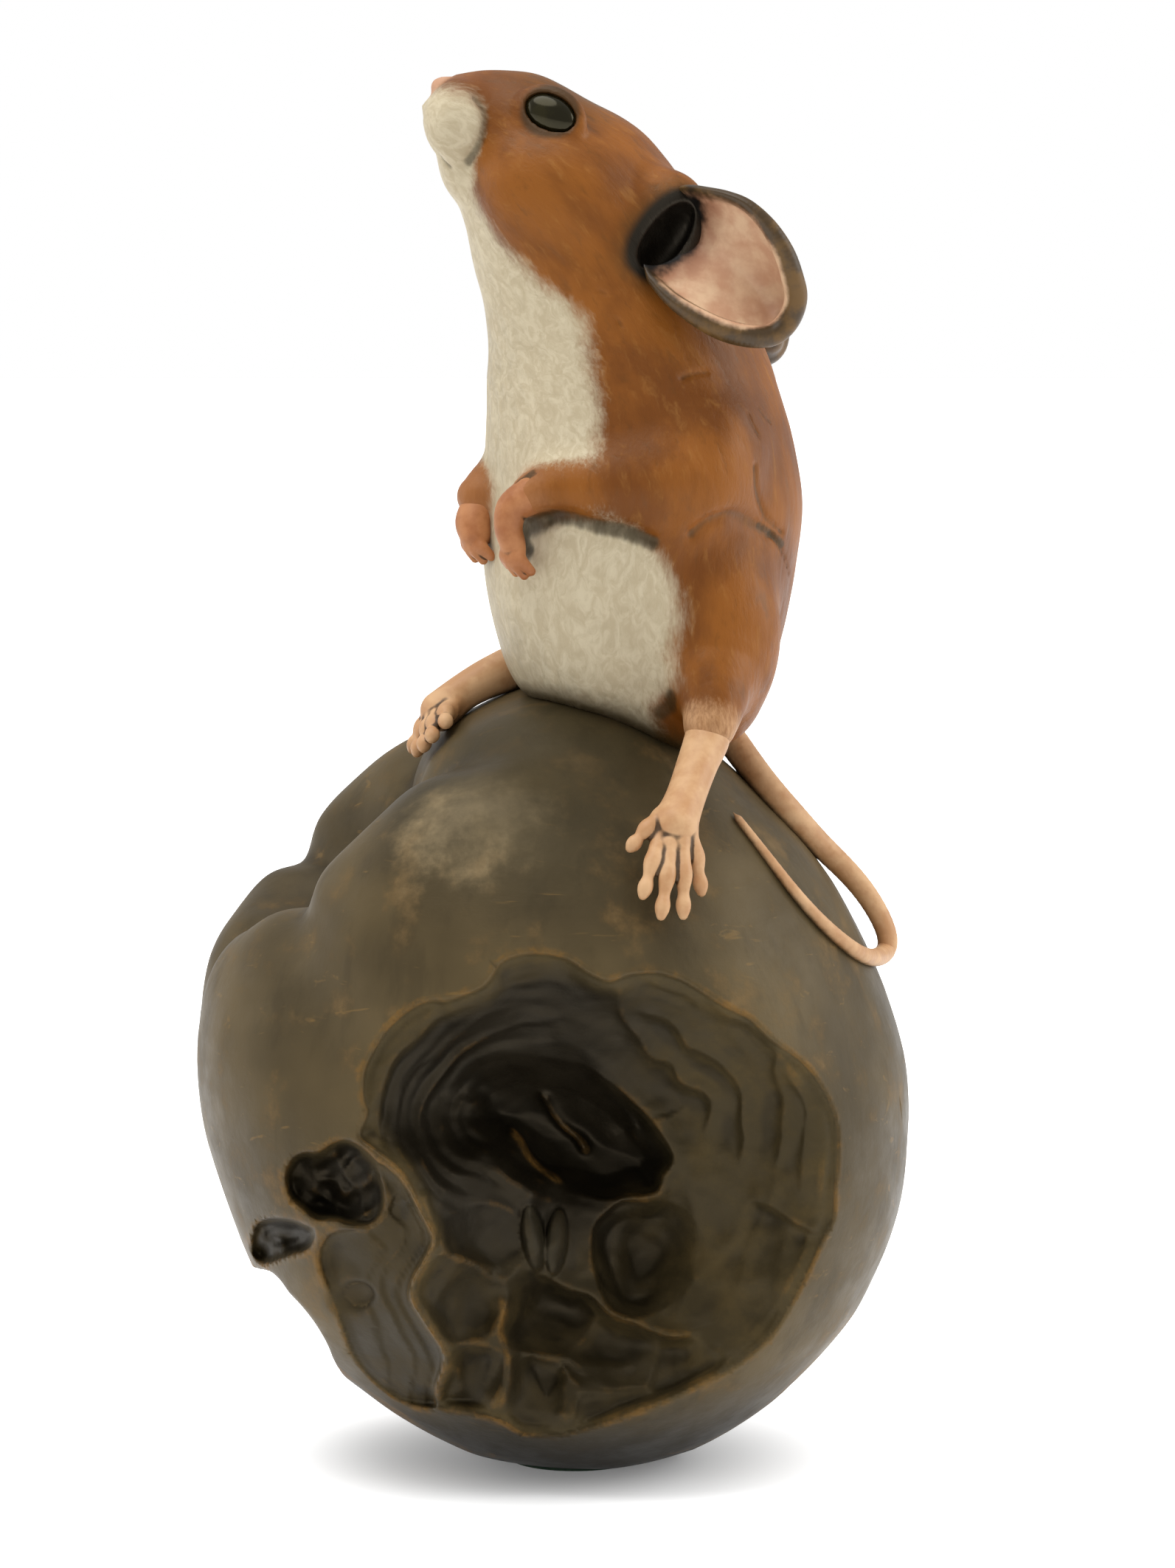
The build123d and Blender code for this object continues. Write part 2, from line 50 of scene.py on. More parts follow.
# Camera: the photograph's view, with its frame taken as width x height pixels
photo = {
    "width": 1593,
    "height": 2125,
    "mmPerPixel": 0.085,
    "distance": 620.0,
    "lift": 5.5,
    "aim": (3.9, -1.8, 78.8),
    # how far before and past the aim's plane a line of sight is searched, and in what strides
    "search": 46,
    "stride": 0.1,
}
lift = math.radians(photo["lift"])
lookDir = np.array([0, math.cos(lift), -math.sin(lift)])
upDir = np.array([0, math.sin(lift), math.cos(lift)])
eyePoint = np.array(photo["aim"]) - lookDir * photo["distance"]
pixelReach = photo["distance"] / photo["mmPerPixel"]


def seen(x, y, z):
    # column, row and depth past the aim's plane
    depth = (y - eyePoint[1]) * lookDir[1] + (z - eyePoint[2]) * lookDir[2]
    rise = (y - eyePoint[1]) * upDir[1] + (z - eyePoint[2]) * upDir[2]
    column = photo["width"] / 2 + pixelReach * (x - eyePoint[0]) / depth
    return column, photo["height"] / 2 - pixelReach * rise / depth, depth - photo["distance"]


def sightLine(column, row):
    side = (np.asarray(column, float) - photo["width"] / 2) / pixelReach
    rise = (photo["height"] / 2 - np.asarray(row, float)) / pixelReach
    return np.stack([side, lookDir[1] + rise * upDir[1], lookDir[2] + rise * upDir[2]], -1)


def onPixel(column, row, y):
    # the point seen at a pixel that lies at depth y
    ray = sightLine(column, row)
    return eyePoint + ray * ((y - eyePoint[1]) / ray[1])


def pointsAlong(ray, past=photo["search"]):
    steps = np.arange(photo["distance"] - photo["search"], photo["distance"] + past, photo["stride"])
    return eyePoint + ray * steps[:, None]


cameraData = bpy.data.cameras.new("view")
cameraData.lens = cameraData.sensor_width / 2 * pixelReach / (photo["height"] / 2)
cameraData.clip_start, cameraData.clip_end = 0.05, 20
camera = placed("view", cameraData)
camera.location = Vector(eyePoint * metres)
camera.rotation_euler = (math.pi / 2 - lift, 0, 0)
bpy.context.scene.camera = camera
bpy.context.scene.view_settings.view_transform = "Standard"


# Clay: a block of signed distances that forms are joined to and carved from
def blendMin(a, b, soft):
    if soft <= 0:
        return np.minimum(a, b)
    share = np.clip(0.5 + 0.5 * (b - a) / soft, 0, 1)
    return b + (a - b) * share - soft * share * (1 - share)


def blendMax(a, b, soft):
    return -blendMin(-a, -b, soft)


def smoothStep(value, low, high):
    share = np.clip((value - low) / (high - low), 0, 1)
    return share * share * (3 - 2 * share)


class Clay:
    def __init__(self, low, high, step):
        self.step = step
        self.low = np.round(np.array(low) / step) * step
        self.size = np.ceil((np.array(high) - self.low) / step).astype(int) + 1
        self.lines = [(self.low[i] + step * np.arange(self.size[i])).astype(np.float32) for i in range(3)]
        self.field = np.full(self.size, 8.0, np.float32)

    def window(self, points, reach):
        low = np.floor((np.min(points, 0) - reach - self.low) / self.step).astype(int).clip(0)
        high = np.ceil((np.max(points, 0) + reach - self.low) / self.step).astype(int) + 1
        where = tuple(slice(a, max(a, min(b, n))) for a, b, n in zip(low, high, self.size))
        x, y, z = (line[part] for line, part in zip(self.lines, where))
        return where, (x[:, None, None], y[None, :, None], z[None, None, :])

    def join(self, form, soft=0.0):
        shape, points, reach = form
        where, spot = self.window(points, reach + soft + 3 * self.step)
        self.field[where] = blendMin(self.field[where], shape(*spot), soft)

    def carve(self, form, soft=0.0):
        shape, points, reach = form
        where, spot = self.window(points, reach + soft + 3 * self.step)
        self.field[where] = blendMax(self.field[where], -shape(*spot), soft)

    def sample(self, points):
        place = (np.asarray(points) - self.low) / self.step
        place = np.clip(place, 0, np.array(self.size) - 1.001)
        cell = place.astype(int)
        part = place - cell
        total = 0
        for i in (0, 1):
            for j in (0, 1):
                for k in (0, 1):
                    shares = np.abs(1 - np.array([i, j, k]) - part)
                    weight = shares[..., 0] * shares[..., 1] * shares[..., 2]
                    corner = cell[..., 0] + i, cell[..., 1] + j, cell[..., 2] + k
                    total = total + weight * self.field[corner]
        return total

    def land(self, column, row, behind=0.0):
        # where a pixel's line of sight meets the clay
        ray = sightLine(column, row)
        line = pointsAlong(ray)
        inside = np.nonzero(self.sample(line) < 0)[0]
        return line[inside[0]] + ray * behind if len(inside) else line[np.argmin(self.sample(line))]


def axesOf(along, facing):
    facing = np.array(facing, float) / np.linalg.norm(facing)
    along = np.array(along, float) - facing * np.dot(along, facing)
    along /= np.linalg.norm(along)
    return np.array([along, np.cross(facing, along), facing])


def egg(centre, radii, along=(1, 0, 0), facing=(0, 0, 1)):
    turn = axesOf(along, facing)

    def shape(x, y, z):
        dx, dy, dz = x - centre[0], y - centre[1], z - centre[2]
        near = far = 0
        for row, radius in zip(turn, radii):
            part = (dx * row[0] + dy * row[1] + dz * row[2]) / radius
            near = near + part**2
            far = far + (part / radius) ** 2
        near = np.sqrt(near)
        return (near * (near - 1) / np.sqrt(far + 1e-9)).astype(np.float32)

    return shape, [centre], max(radii)


def smoothLine(points, spans=6, closed=False):
    # a curve through the points, the same way for any columns they have
    points = np.array(points, float)
    if closed:
        padded = np.vstack([points[-1], points, points[0], points[1]])
    else:
        padded = np.vstack([2 * points[0] - points[1], points, 2 * points[-1] - points[-2]])
    rows = []
    for a, b, c, d in zip(padded, padded[1:], padded[2:], padded[3:]):
        for t in np.arange(spans) / spans:
            squared, cubed = (2 * a - 5 * b + 4 * c - d) * t**2, (3 * b - a - 3 * c + d) * t**3
            rows.append(0.5 * (2 * b + (c - a) * t + squared + cubed))
    if not closed:
        rows.append(points[-1])
    return np.array(rows)


def limb(knots, spans=5):
    # a round member through knots of x, y, z and radius
    line = smoothLine(knots, spans) if len(knots) > 2 else np.array(knots, float)

    def shape(x, y, z):
        nearest = None
        for a, b in zip(line, line[1:]):
            run = b[:3] - a[:3]
            dx, dy, dz = x - a[0], y - a[1], z - a[2]
            share = (dx * run[0] + dy * run[1] + dz * run[2]) / (run @ run + 1e-9)
            share = np.clip(share, 0, 1).astype(np.float32)
            dx, dy, dz = dx - run[0] * share, dy - run[1] * share, dz - run[2] * share
            away = np.sqrt(dx**2 + dy**2 + dz**2)
            away = away - (a[3] + (b[3] - a[3]) * share)
            nearest = away if nearest is None else np.minimum(nearest, away)
        return nearest.astype(np.float32)

    return shape, line[:, :3], line[:, 3].max()


def bareMesh(name, points, triangles, quads):
    # a mesh from millimetre points, its faces turned outwards
    corners = np.concatenate([triangles.ravel(), quads.ravel()]).astype(np.int32)
    counts = np.concatenate([np.full(len(triangles), 3), np.full(len(quads), 4)])
    starts = np.concatenate([[0], np.cumsum(counts)[:-1]]).astype(np.int32)
    a, b, c = points[corners[starts]], points[corners[starts + 1]], points[corners[starts + 2]]
    if np.einsum("ij,ij->", np.cross(b - a, c - a), a - points.mean(0)) < 0:
        flipped = [triangles[:, ::-1].ravel(), quads[:, ::-1].ravel()]
        corners = np.concatenate(flipped).astype(np.int32)
    mesh = bpy.data.meshes.new(name)
    mesh.vertices.add(len(points))
    mesh.vertices.foreach_set("co", (points * metres).astype(np.float32).ravel())
    mesh.loops.add(len(corners))
    mesh.loops.foreach_set("vertex_index", corners)
    mesh.polygons.add(len(starts))
    mesh.polygons.foreach_set("loop_start", starts)
    mesh.update(calc_edges=True)
    mesh.validate()
    mesh.shade_smooth()
    return mesh


def fired(clay, name, thin=0.0):
    # the clay's surface as a mesh, thinned where it is flat and shaded by the slope of its distances
    grid = openvdb.FloatGrid()
    grid.copyFromArray(np.clip(clay.field, -3 * clay.step, 3 * clay.step))
    points, triangles, quads = grid.convertToPolygons(0.0, thin)
    points = points.astype(float) * clay.step + clay.low
    mesh = bareMesh(name, points, triangles.astype(np.int64), quads.astype(np.int64))
    slopes = np.zeros_like(points)
    for axis in range(3):
        nudge = np.zeros(3)
        nudge[axis] = 0.6 * clay.step
        slopes[:, axis] = clay.sample(points + nudge) - clay.sample(points - nudge)
    slopes /= np.linalg.norm(slopes, axis=1)[:, None] + 1e-9
    mesh.normals_split_custom_set_from_vertices(slopes)
    print(name, "has", len(triangles) + 2 * len(quads), "triangles")
    return placed(name, mesh), points, slopes


def curving(clay, points, reach):
    # how far the surface bulges (positive) or sinks (negative) at each point, over a reach
    total = -6 * clay.sample(points)
    for axis in range(3):
        nudge = np.zeros(3)
        nudge[axis] = reach
        total = total + clay.sample(points + nudge) + clay.sample(points - nudge)
    return total / reach


def awayFrom(points, spots):
    # distance from each point to the nearest of some spots
    return np.min(np.linalg.norm(points[:, None] - np.array(spots)[None], axis=2), 1)


def paint(piece, name, values):
    kind = "FLOAT" if np.ndim(values) == 1 else "FLOAT_VECTOR"
    layer = piece.data.attributes.new(name, kind, "POINT")
    layer.data.foreach_set("value" if kind == "FLOAT" else "vector", np.asarray(values, np.float32).ravel())


# Apple: a turned form with a leaning calyx crown of five lobes
apple = {
    "radius": 40.0,
    "centre": (1.1, -1.8, 40.1),
    "lean": 21,
    "calyxLean": 40.2,
    "calyxSwing": 0.117,
    "notchTurn": 36.3,
    # the five notches and valleys: depth, sharpness and the heights between which they deepen
    "notch": (1.8, 4.9, (12, 50)),
    "valley": (1.0, 1.6, (-4, 40)),
    "crestDip": 1.85,
    "crestReach": (4, 18),
    "crestSoft": 5.9,
    # rise of the far side, and over which depths and heights it grows
    "farSwell": (1.5, (-5, 25), (0, 30)),
    # swells of its sides: side, height, half height and rise in millimetres
    "swells": [(-1, 47, 12, 1.3), (1, 31, 10, 1.0)],
    "swellReach": (20, 38),
    "foot": 0.3,
    # corners of the clay and of the part that is gnawed, and the size of a cell
    "box": ((-42.5, -41, 0), (42.8, 40, 91.5)),
    "gnawedBox": ((-36, -41, 2), (34.5, -4, 68)),
    "step": 0.38,
    # unevenness of the cast skin: rise, cell and seed
    "uneven": [(0.16, 9.0, 31), (0.05, 2.6, 32)],
    # the painted highlight's column and row, and how far it spreads: a lighter spot painted where light falls
    # on the upper lobe
    "paintedHighlight": (640, 1105),
    "paintedHighlightReach": (1.5, 13.0),
    # the apple's foot is painted darker near the floor, as painted shade: full below the first height, gone
    # above the second
    "floorShadeReach": (4, 17),
    # under the mouse the patina is painted darker: painted shade from the mouse, with some dark wash
    "seatShadeAndWash": (-1.0, -22.0, 84.0),
    "profile": [
        (0.000, -1.055), (0.232, -1.000), (0.362, -0.950), (0.542, -0.850), (0.660, -0.750),
        (0.812, -0.550), (0.965, -0.250), (1.000, 0.000), (0.988, 0.250), (0.945, 0.450),
        (0.872, 0.650), (0.768, 0.850), (0.635, 1.035), (0.420, 1.180), (0.000, 1.235),
    ],
    "crown": [
        (0, 0.876), (0.18, 0.906), (0.32, 1.015), (0.44, 1.076), (0.6, 1.104), (0.85, 1.076), (1.4, 0.927),
    ],
}
appleCentre = np.array(apple["centre"])
turned = {"wide": 56, "low": -52, "high": 60, "cell": 0.25}


def profileTable():
    # signed distance to the turned profile, on a plane of radius and height
    line = smoothLine(apple["profile"], 10) * apple["radius"]
    line[:, 0] = line[:, 0].clip(0)
    cell = turned["cell"]
    radii, heights = np.arange(0, turned["wide"], cell), np.arange(turned["low"], turned["high"], cell)
    radius, height = np.meshgrid(radii, heights, indexing="ij")
    best = np.full(radius.shape, 1e9)
    inside = np.zeros(radius.shape, bool)
    for a, b in zip(line, line[1:]):
        run = b - a
        share = np.clip(((radius - a[0]) * run[0] + (height - a[1]) * run[1]) / (run @ run), 0, 1)
        away = np.hypot(radius - a[0] - run[0] * share, height - a[1] - run[1] * share)
        best = np.minimum(best, away)
        level = (height >= a[1]) & (height < b[1])
        inside |= level & (radius < a[0] + run[0] * (height - a[1]) / (run[1] + 1e-12))
    return np.where(inside, -best, best).astype(np.float32)


turnedTable = profileTable()
crownLine = smoothLine(apple["crown"], 12) * apple["radius"]


def leaningAxes(degrees):
    lean = math.radians(degrees)
    return (math.cos(lean), math.sin(lean)), (-math.sin(lean), math.cos(lean))


bodyAcross, bodyUp = leaningAxes(apple["lean"])
calyxAcross, calyxUp = leaningAxes(apple["calyxLean"])


def appleForm(x, y, z):
    dx, dy, dz = x - appleCentre[0], y - appleCentre[1], z - appleCentre[2]
    across, height = dx * bodyAcross[0] + dz * bodyAcross[1], dx * bodyUp[0] + dz * bodyUp[1]
    radius = np.sqrt(across**2 + dy**2)
    place = np.clip(radius / turned["cell"], 0, turnedTable.shape[0] - 2)
    rise = np.clip((height - turned["low"]) / turned["cell"] + 0 * place, 0, turnedTable.shape[1] - 2)
    i, j = place.astype(np.int32), rise.astype(np.int32)
    s, t = place - i, rise - j
    low = turnedTable[i, j] * (1 - s) + turnedTable[i + 1, j] * s
    high = turnedTable[i, j + 1] * (1 - s) + turnedTable[i + 1, j + 1] * s
    body = low * (1 - t) + high * t
    across, height = dx * calyxAcross[0] + dz * calyxAcross[1], dx * calyxUp[0] + dz * calyxUp[1]
    radius = np.sqrt(across**2 + dy**2)
    turn = np.arctan2(dy + 0 * across, across + 0 * dy)
    wave = 0.5 + 0.5 * np.cos(5 * (turn - math.radians(apple["notchTurn"])))
    notchDepth, notchSharp, notchReach = apple["notch"]
    valleyDepth, valleySharp, valleyReach = apple["valley"]
    notch = wave**notchSharp
    crest = np.interp(radius, crownLine[:, 0], crownLine[:, 1]).astype(np.float32) + apple["calyxSwing"] * dy
    body = body + notchDepth * notch * smoothStep(height, *notchReach) ** 1.3
    body = body + valleyDepth * wave**valleySharp * smoothStep(height, *valleyReach)
    farRise, farDepths, farHeights = apple["farSwell"]
    body = body - farRise * smoothStep(dy, *farDepths) * smoothStep(height, *farHeights)
    for side, level, reach, rise in apple["swells"]:
        swelling = np.exp(-(((z - level) / reach) ** 2))
        body = body - rise * smoothStep(side * dx, *apple["swellReach"]) * swelling
    crown = (height - crest) * 0.9 + apple["crestDip"] * notch * smoothStep(radius, *apple["crestReach"])
    return blendMax(body, crown, apple["crestSoft"]).astype(np.float32)


# Gnawed places, mapped in the photograph's own columns and rows
gnawed = {
    "low": (316, 1262),
    "high": (1180, 1990),
    "step": 2.0,
    "mmPerPixel": 0.082,
    # where the skin is searched along a line of sight, from the aim's plane, and in how many steps
    "search": (-44.0, 20),
    "tries": 40,
    # how far the lines of the floor sway, in pixels, and over which cells
    "sway": [(6, 70), (5, 28)],
    # the hollow's bowl: centre, then radii across and into the apple
    "bowl": ((7.0, -47.0, 33.5), (34.3, 26.0)),
    # falls inside an edge: millimetres in from it, then millimetres down
    "wallFall": ([-8, 0, 0.3, 0.8, 2, 4, 7, 12, 20], [-16, 0, 1.0, 1.8, 3.8, 6.8, 10.6, 16, 24]),
    "leastFall": ([-8, 0, 0.3, 1, 3, 8, 20], [-16, 0, 1.0, 1.6, 2.8, 4.6, 7.0]),
    "innerCrisp": ([-2.6, -0.7, -0.1, 0.25, 1, 3, 6, 9], [0, -0.3, -0.4, 1.4, 3.4, 6.0, 7.4, 8]),
    "innerSoft": ([-4.0, -1.5, 0, 1.5, 3, 6, 9], [0, 0.5, 1.5, 3.6, 5.4, 7.4, 8]),
    "pocketCrisp": ([-1, 0, 0.5, 2, 4.5], [0, 0, 1.3, 3.0, 4.0]),
    "pocketSoft": ([-4, 0, 3, 5], [0, 1.0, 2.8, 4.0]),
    "shelfFall": ([-8, 0, 0.3, 1.2, 4], [-16, 0, 1.2, 1.9, 2.5]),
    "biteFall": ([-8, 0, 0.2, 0.7, 1.8, 4], [-16, 0, 0.30, 0.62, 0.86, 1.0]),
    # tooth marks in rings round the core, in pixels
    "teeth": {
        "seed": 7,
        "middle": (770, 1570),
        "rings": (110, 420, 31),
        "apart": 105,
        "spread": (56, 88),
        "height": (26, 36),
        "shift": 9,
        "fall": (0.4, 1.0),
        "strength": 0.55,
    },
    # soft rings on the left of the bowl: depth in millimetres and how closely they follow
    "rings": (0.22, 3.3),
    "rim": [
        (487, 1540), (496, 1510), (491, 1483), (493, 1452), (505, 1425), (522, 1398), (549, 1372),
        (580, 1356), (603, 1356), (625, 1349), (652, 1338), (665, 1325), (674, 1309), (692, 1297),
        (728, 1291), (768, 1298), (799, 1318), (826, 1328), (853, 1320), (889, 1317), (924, 1327),
        (955, 1345), (987, 1365), (1018, 1380), (1045, 1407), (1085, 1436), (1107, 1461), (1125, 1492),
        (1136, 1528), (1136, 1572), (1132, 1617), (1130, 1653), (1116, 1680), (1098, 1720), (1076, 1764),
        (1045, 1813), (996, 1854), (951, 1876), (906, 1898), (862, 1914), (817, 1930), (772, 1943),
        (737, 1946), (705, 1942), (680, 1926), (640, 1916), (594, 1908), (592, 1880), (603, 1838),
        (577, 1794), (558, 1761), (561, 1734), (577, 1706), (588, 1679), (572, 1646), (545, 1591),
        (510, 1560),
    ],
    "inner": [
        (627, 1456), (665, 1440), (720, 1430), (764, 1434), (800, 1450), (835, 1476), (863, 1501),
        (890, 1531), (907, 1564), (898, 1591), (890, 1613), (852, 1618), (813, 1624), (772, 1618),
        (731, 1610), (687, 1590), (649, 1570), (616, 1545), (606, 1495),
    ],
    # edges where the floor steps down on the line's right hand: fall and reach in millimetres, then the line
    "steps": [
        (1.5, 3.2, [(826, 1322), (835, 1366), (857, 1399), (885, 1429), (915, 1440), (929, 1465), (959, 1481),
                    (961, 1514), (950, 1560)]),
        (1.2, 2.6, [(838, 1362), (874, 1374), (907, 1388), (934, 1416), (956, 1424), (983, 1443),
                    (1003, 1476), (1005, 1514), (1011, 1560), (1000, 1610)]),
        (1.1, 2.4, [(945, 1336), (978, 1372), (1011, 1385), (1038, 1399), (1049, 1421), (1050, 1446),
                    (1062, 1490), (1066, 1550), (1058, 1600)]),
        (0.8, 2.4, [(1050, 1436), (1078, 1468), (1094, 1520), (1098, 1580), (1088, 1640)]),
        (0.6, 2.2, [(868, 1322), (896, 1340), (930, 1352), (952, 1376)]),
        (0.8, 3.0, [(534, 1590), (514, 1540), (511, 1490), (524, 1442), (556, 1402), (600, 1376),
                    (655, 1360)]),
        (0.9, 3.0, [(572, 1610), (548, 1560), (541, 1508), (552, 1462), (582, 1424), (628, 1392), (690, 1368),
                    (750, 1358)]),
        (1.0, 2.6, [(606, 1626), (583, 1588), (572, 1535), (580, 1482), (612, 1436), (660, 1404), (722, 1386),
                    (778, 1394)]),
        (1.4, 2.6, [(1012, 1618), (1050, 1634), (1088, 1656), (1124, 1678)]),
        (2.4, 5.0, [(690, 1716), (731, 1732), (764, 1750), (797, 1756), (830, 1774), (857, 1785), (890, 1800),
                    (923, 1808), (966, 1790)]),
        (1.6, 4.0, [(676, 1746), (655, 1724), (622, 1708), (590, 1704), (574, 1722)]),
        (1.2, 3.0, [(700, 1856), (722, 1842), (752, 1840), (778, 1850), (800, 1872)]),
        (1.0, 3.0, [(612, 1830), (640, 1826), (672, 1832)]),
    ],
    # the lower cell beside the core
    "pocket": [
        (840, 1622), (805, 1655), (795, 1695), (805, 1734), (819, 1761), (846, 1780), (885, 1782),
        (930, 1760), (962, 1710), (945, 1655), (895, 1625),
    ],
    # raised lines: height, half widths left and right of the run, share of gold rubbed on them, then the line
    "ridges": [
        (2.3, 0.30, 1.60, 1.0, [(683, 1524), (692, 1534), (706, 1548), (731, 1574), (752, 1594),
                                (773, 1612)]),
        (1.7, 0.55, 0.35, 0.15, [(732, 1472), (741, 1482), (758, 1509), (783, 1542), (800, 1572)]),
        (0.6, 0.60, 0.60, 0.0, [(797, 1454), (820, 1474), (841, 1498), (856, 1524), (863, 1560)]),
        (2.5, 1.80, 1.90, 0.1, [(640, 1468), (636, 1505), (652, 1540), (682, 1580), (716, 1618),
                                (735, 1650)]),
        (1.4, 1.20, 1.30, 0.7, [(676, 1742), (681, 1778), (678, 1805), (687, 1832), (690, 1871),
                                (682, 1926)]),
        (0.8, 0.90, 0.90, 0.4, [(769, 1850), (771, 1887), (764, 1931)]),
        (1.0, 1.00, 0.80, 0.5, [(566, 1610), (584, 1650), (600, 1690), (616, 1706)]),
    ],
    # hollows on the lower floor: place, half width, half height, tilt in degrees and depth in millimetres
    "dips": [
        (632, 1768, 52, 56, 20, 2.5), (636, 1872, 54, 50, 0, 2.6), (740, 1796, 66, 52, 15, 2.1),
        (728, 1892, 58, 52, 0, 2.3), (826, 1842, 82, 54, 18, 2.0), (844, 1906, 66, 40, -12, 1.6),
        (925, 1862, 70, 50, -24, 1.6), (1004, 1786, 76, 84, -30, 1.4), (996, 1690, 70, 88, -10, 1.0),
        (656, 1676, 50, 40, 10, 1.6), (596, 1744, 34, 40, 0, 1.4), (900, 1700, 60, 90, 8, 1.2),
    ],
    # pips: column, row and tilt; half width and half height in pixels; rise in millimetres
    "pips": [(723, 1678, -7), (754, 1683, 6)],
    "pipHalf": (15, 46),
    "pipRise": 1.9,
    # the two bites beside the hollow: depth in millimetres and outline
    "bites": [
        (4.6, [(483, 1549), (458, 1545), (432, 1560), (413, 1561), (397, 1569), (388, 1586), (387, 1603),
               (394, 1624), (411, 1640), (429, 1654), (455, 1655), (477, 1662), (506, 1662), (524, 1640),
               (522, 1606), (510, 1572)]),
        (5.5, [(343, 1675), (350, 1656), (370, 1650), (394, 1652), (416, 1660), (428, 1670), (420, 1692),
               (392, 1702), (358, 1713), (342, 1698)]),
    ],
    "shelf": [
        (512, 1574), (545, 1598), (572, 1646), (588, 1679), (577, 1706), (561, 1734), (558, 1761),
        (577, 1794), (603, 1838), (592, 1880), (594, 1908), (545, 1900), (505, 1872), (478, 1838),
        (462, 1796), (446, 1750), (432, 1706), (446, 1672), (480, 1664), (510, 1652), (520, 1622),
        (508, 1596),
    ],
    # shallow steps on the shelf
    "layers": [
        (0.5, [(500, 1556), (540, 1600), (560, 1650), (574, 1684), (560, 1710), (545, 1738), (540, 1768),
               (560, 1806), (580, 1850), (576, 1900), (640, 1900), (640, 1560)]),
        (0.5, [(528, 1640), (548, 1672), (540, 1700), (522, 1722), (520, 1756), (536, 1800), (556, 1846),
               (556, 1910), (640, 1910), (640, 1600), (560, 1600)]),
        (0.4, [(500, 1668), (520, 1690), (505, 1716), (496, 1750), (505, 1796), (520, 1850), (530, 1910),
               (640, 1910), (640, 1640), (520, 1640)]),
    ],
}

columns, rows = np.meshgrid(
    np.arange(gnawed["low"][0], gnawed["high"][0], gnawed["step"]),
    np.arange(gnawed["low"][1], gnawed["high"][1], gnawed["step"]),
    indexing="ij",
)


def splineShares(count, cell):
    # weights that carry coarse values smoothly to fine places along one axis
    place = np.arange(count) / cell + 1
    base = place.astype(int)
    t = place - base
    weights = np.zeros((count, base[-1] + 3), np.float32)
    shares = ((1 - t) ** 3, 3 * t**3 - 6 * t**2 + 4, -3 * t**3 + 3 * t**2 + 3 * t + 1, t**3)
    for offset, share in enumerate(shares):
        weights[np.arange(count), base - 1 + offset] += share / 6
    return weights


def cloudMap(seed, cell):
    # a smooth random map, about -1 to 1, its swells a cell of pixels across
    down, across = (splineShares(count, cell / gnawed["step"]) for count in columns.shape)
    coarse = np.random.default_rng(seed).uniform(-1.7, 1.7, (down.shape[1], across.shape[1]))
    return down @ coarse @ across.T


def swayed(values, seeds):
    for seed, (reach, cell) in zip(seeds, gnawed["sway"]):
        values = values + reach * cloudMap(seed, cell)
    return values


bentColumns, bentRows = swayed(columns, (11, 12)), swayed(rows, (13, 14))


def nearestOn(line, closed=False, bent=True):
    # distance in pixels from each place of the map to a line, and for an outline its inside
    u, v = (bentColumns, bentRows) if bent else (columns, rows)
    if closed:
        line = np.vstack([line, line[:1]])
    best = np.full(u.shape, 1e9)
    inside = np.zeros(u.shape, bool)
    for a, b in zip(line, line[1:]):
        run = b - a
        share = np.clip(((u - a[0]) * run[0] + (v - a[1]) * run[1]) / (run @ run + 1e-9), 0, 1)
        best = np.minimum(best, np.hypot(u - a[0] - run[0] * share, v - a[1] - run[1] * share))
        if closed:
            crossed = (a[1] > v) != (b[1] > v)
            inside ^= crossed & (u < a[0] + run[0] * (v - a[1]) / (run[1] + 1e-12))
    return best, inside


def outlineDepth(points, bent=True):
    # millimetres inside an outline, negative outside
    best, inside = nearestOn(smoothLine(points, 3, closed=True), closed=True, bent=bent)
    return np.where(inside, best, -best) * gnawed["mmPerPixel"]


def beside(line):
    # millimetres from a line, positive on the right hand of its run, and how far along it
    line = smoothLine(line, 4)
    lengths = np.concatenate([[0], np.cumsum(np.hypot(*np.diff(line, axis=0).T))])
    best = np.full(columns.shape, 1e9)
    side, along = np.zeros(columns.shape), np.zeros(columns.shape)
    for a, b, start, end in zip(line, line[1:], lengths, lengths[1:]):
        run = b - a
        du, dv = bentColumns - a[0], bentRows - a[1]
        share = np.clip((du * run[0] + dv * run[1]) / (run @ run + 1e-9), 0, 1)
        away = np.hypot(du - run[0] * share, dv - run[1] * share)
        closer = away < best
        best = np.where(closer, away, best)
        side = np.where(closer, np.sign(run[0] * dv - run[1] * du), side)
        along = np.where(closer, (start + (end - start) * share) / lengths[-1], along)
    return best * side * gnawed["mmPerPixel"], along


def skinDepths():
    # depth of the whole apple's skin under each place of the map
    rays = sightLine(columns, rows)
    nearest, farthest = gnawed["search"]
    along = np.full(columns.shape, photo["distance"] + nearest)
    for _ in range(gnawed["tries"]):
        spot = eyePoint + rays * along[..., None]
        along = along + np.clip(appleForm(spot[..., 0], spot[..., 1], spot[..., 2]), -2, 4) * 0.9
    return np.minimum(along, photo["distance"] + farthest) - photo["distance"]


def bowlDepths(centre, radii):
    # depth at which each sight line leaves a round bowl
    scale = np.array([radii[0], radii[1], radii[0]])
    start, ray = (eyePoint - np.array(centre)) / scale, sightLine(columns, rows) / scale
    a, b, c = (ray**2).sum(-1), (start * ray).sum(-1), (start**2).sum() - 1
    return (np.sqrt(np.clip(b * b - a * c, 0, None)) - b) / a - photo["distance"]


def softened(values, reach):
    # blur over a reach in places of the map
    kernel = np.exp(-((np.arange(-2 * reach, 2 * reach + 1) / reach) ** 2))
    kernel /= kernel.sum()
    for _ in range(2):
        padded = np.pad(values, ((2 * reach, 2 * reach), (0, 0)), mode="edge")
        values = sum(w * padded[i : i + values.shape[0]] for i, w in enumerate(kernel)).T
    return values


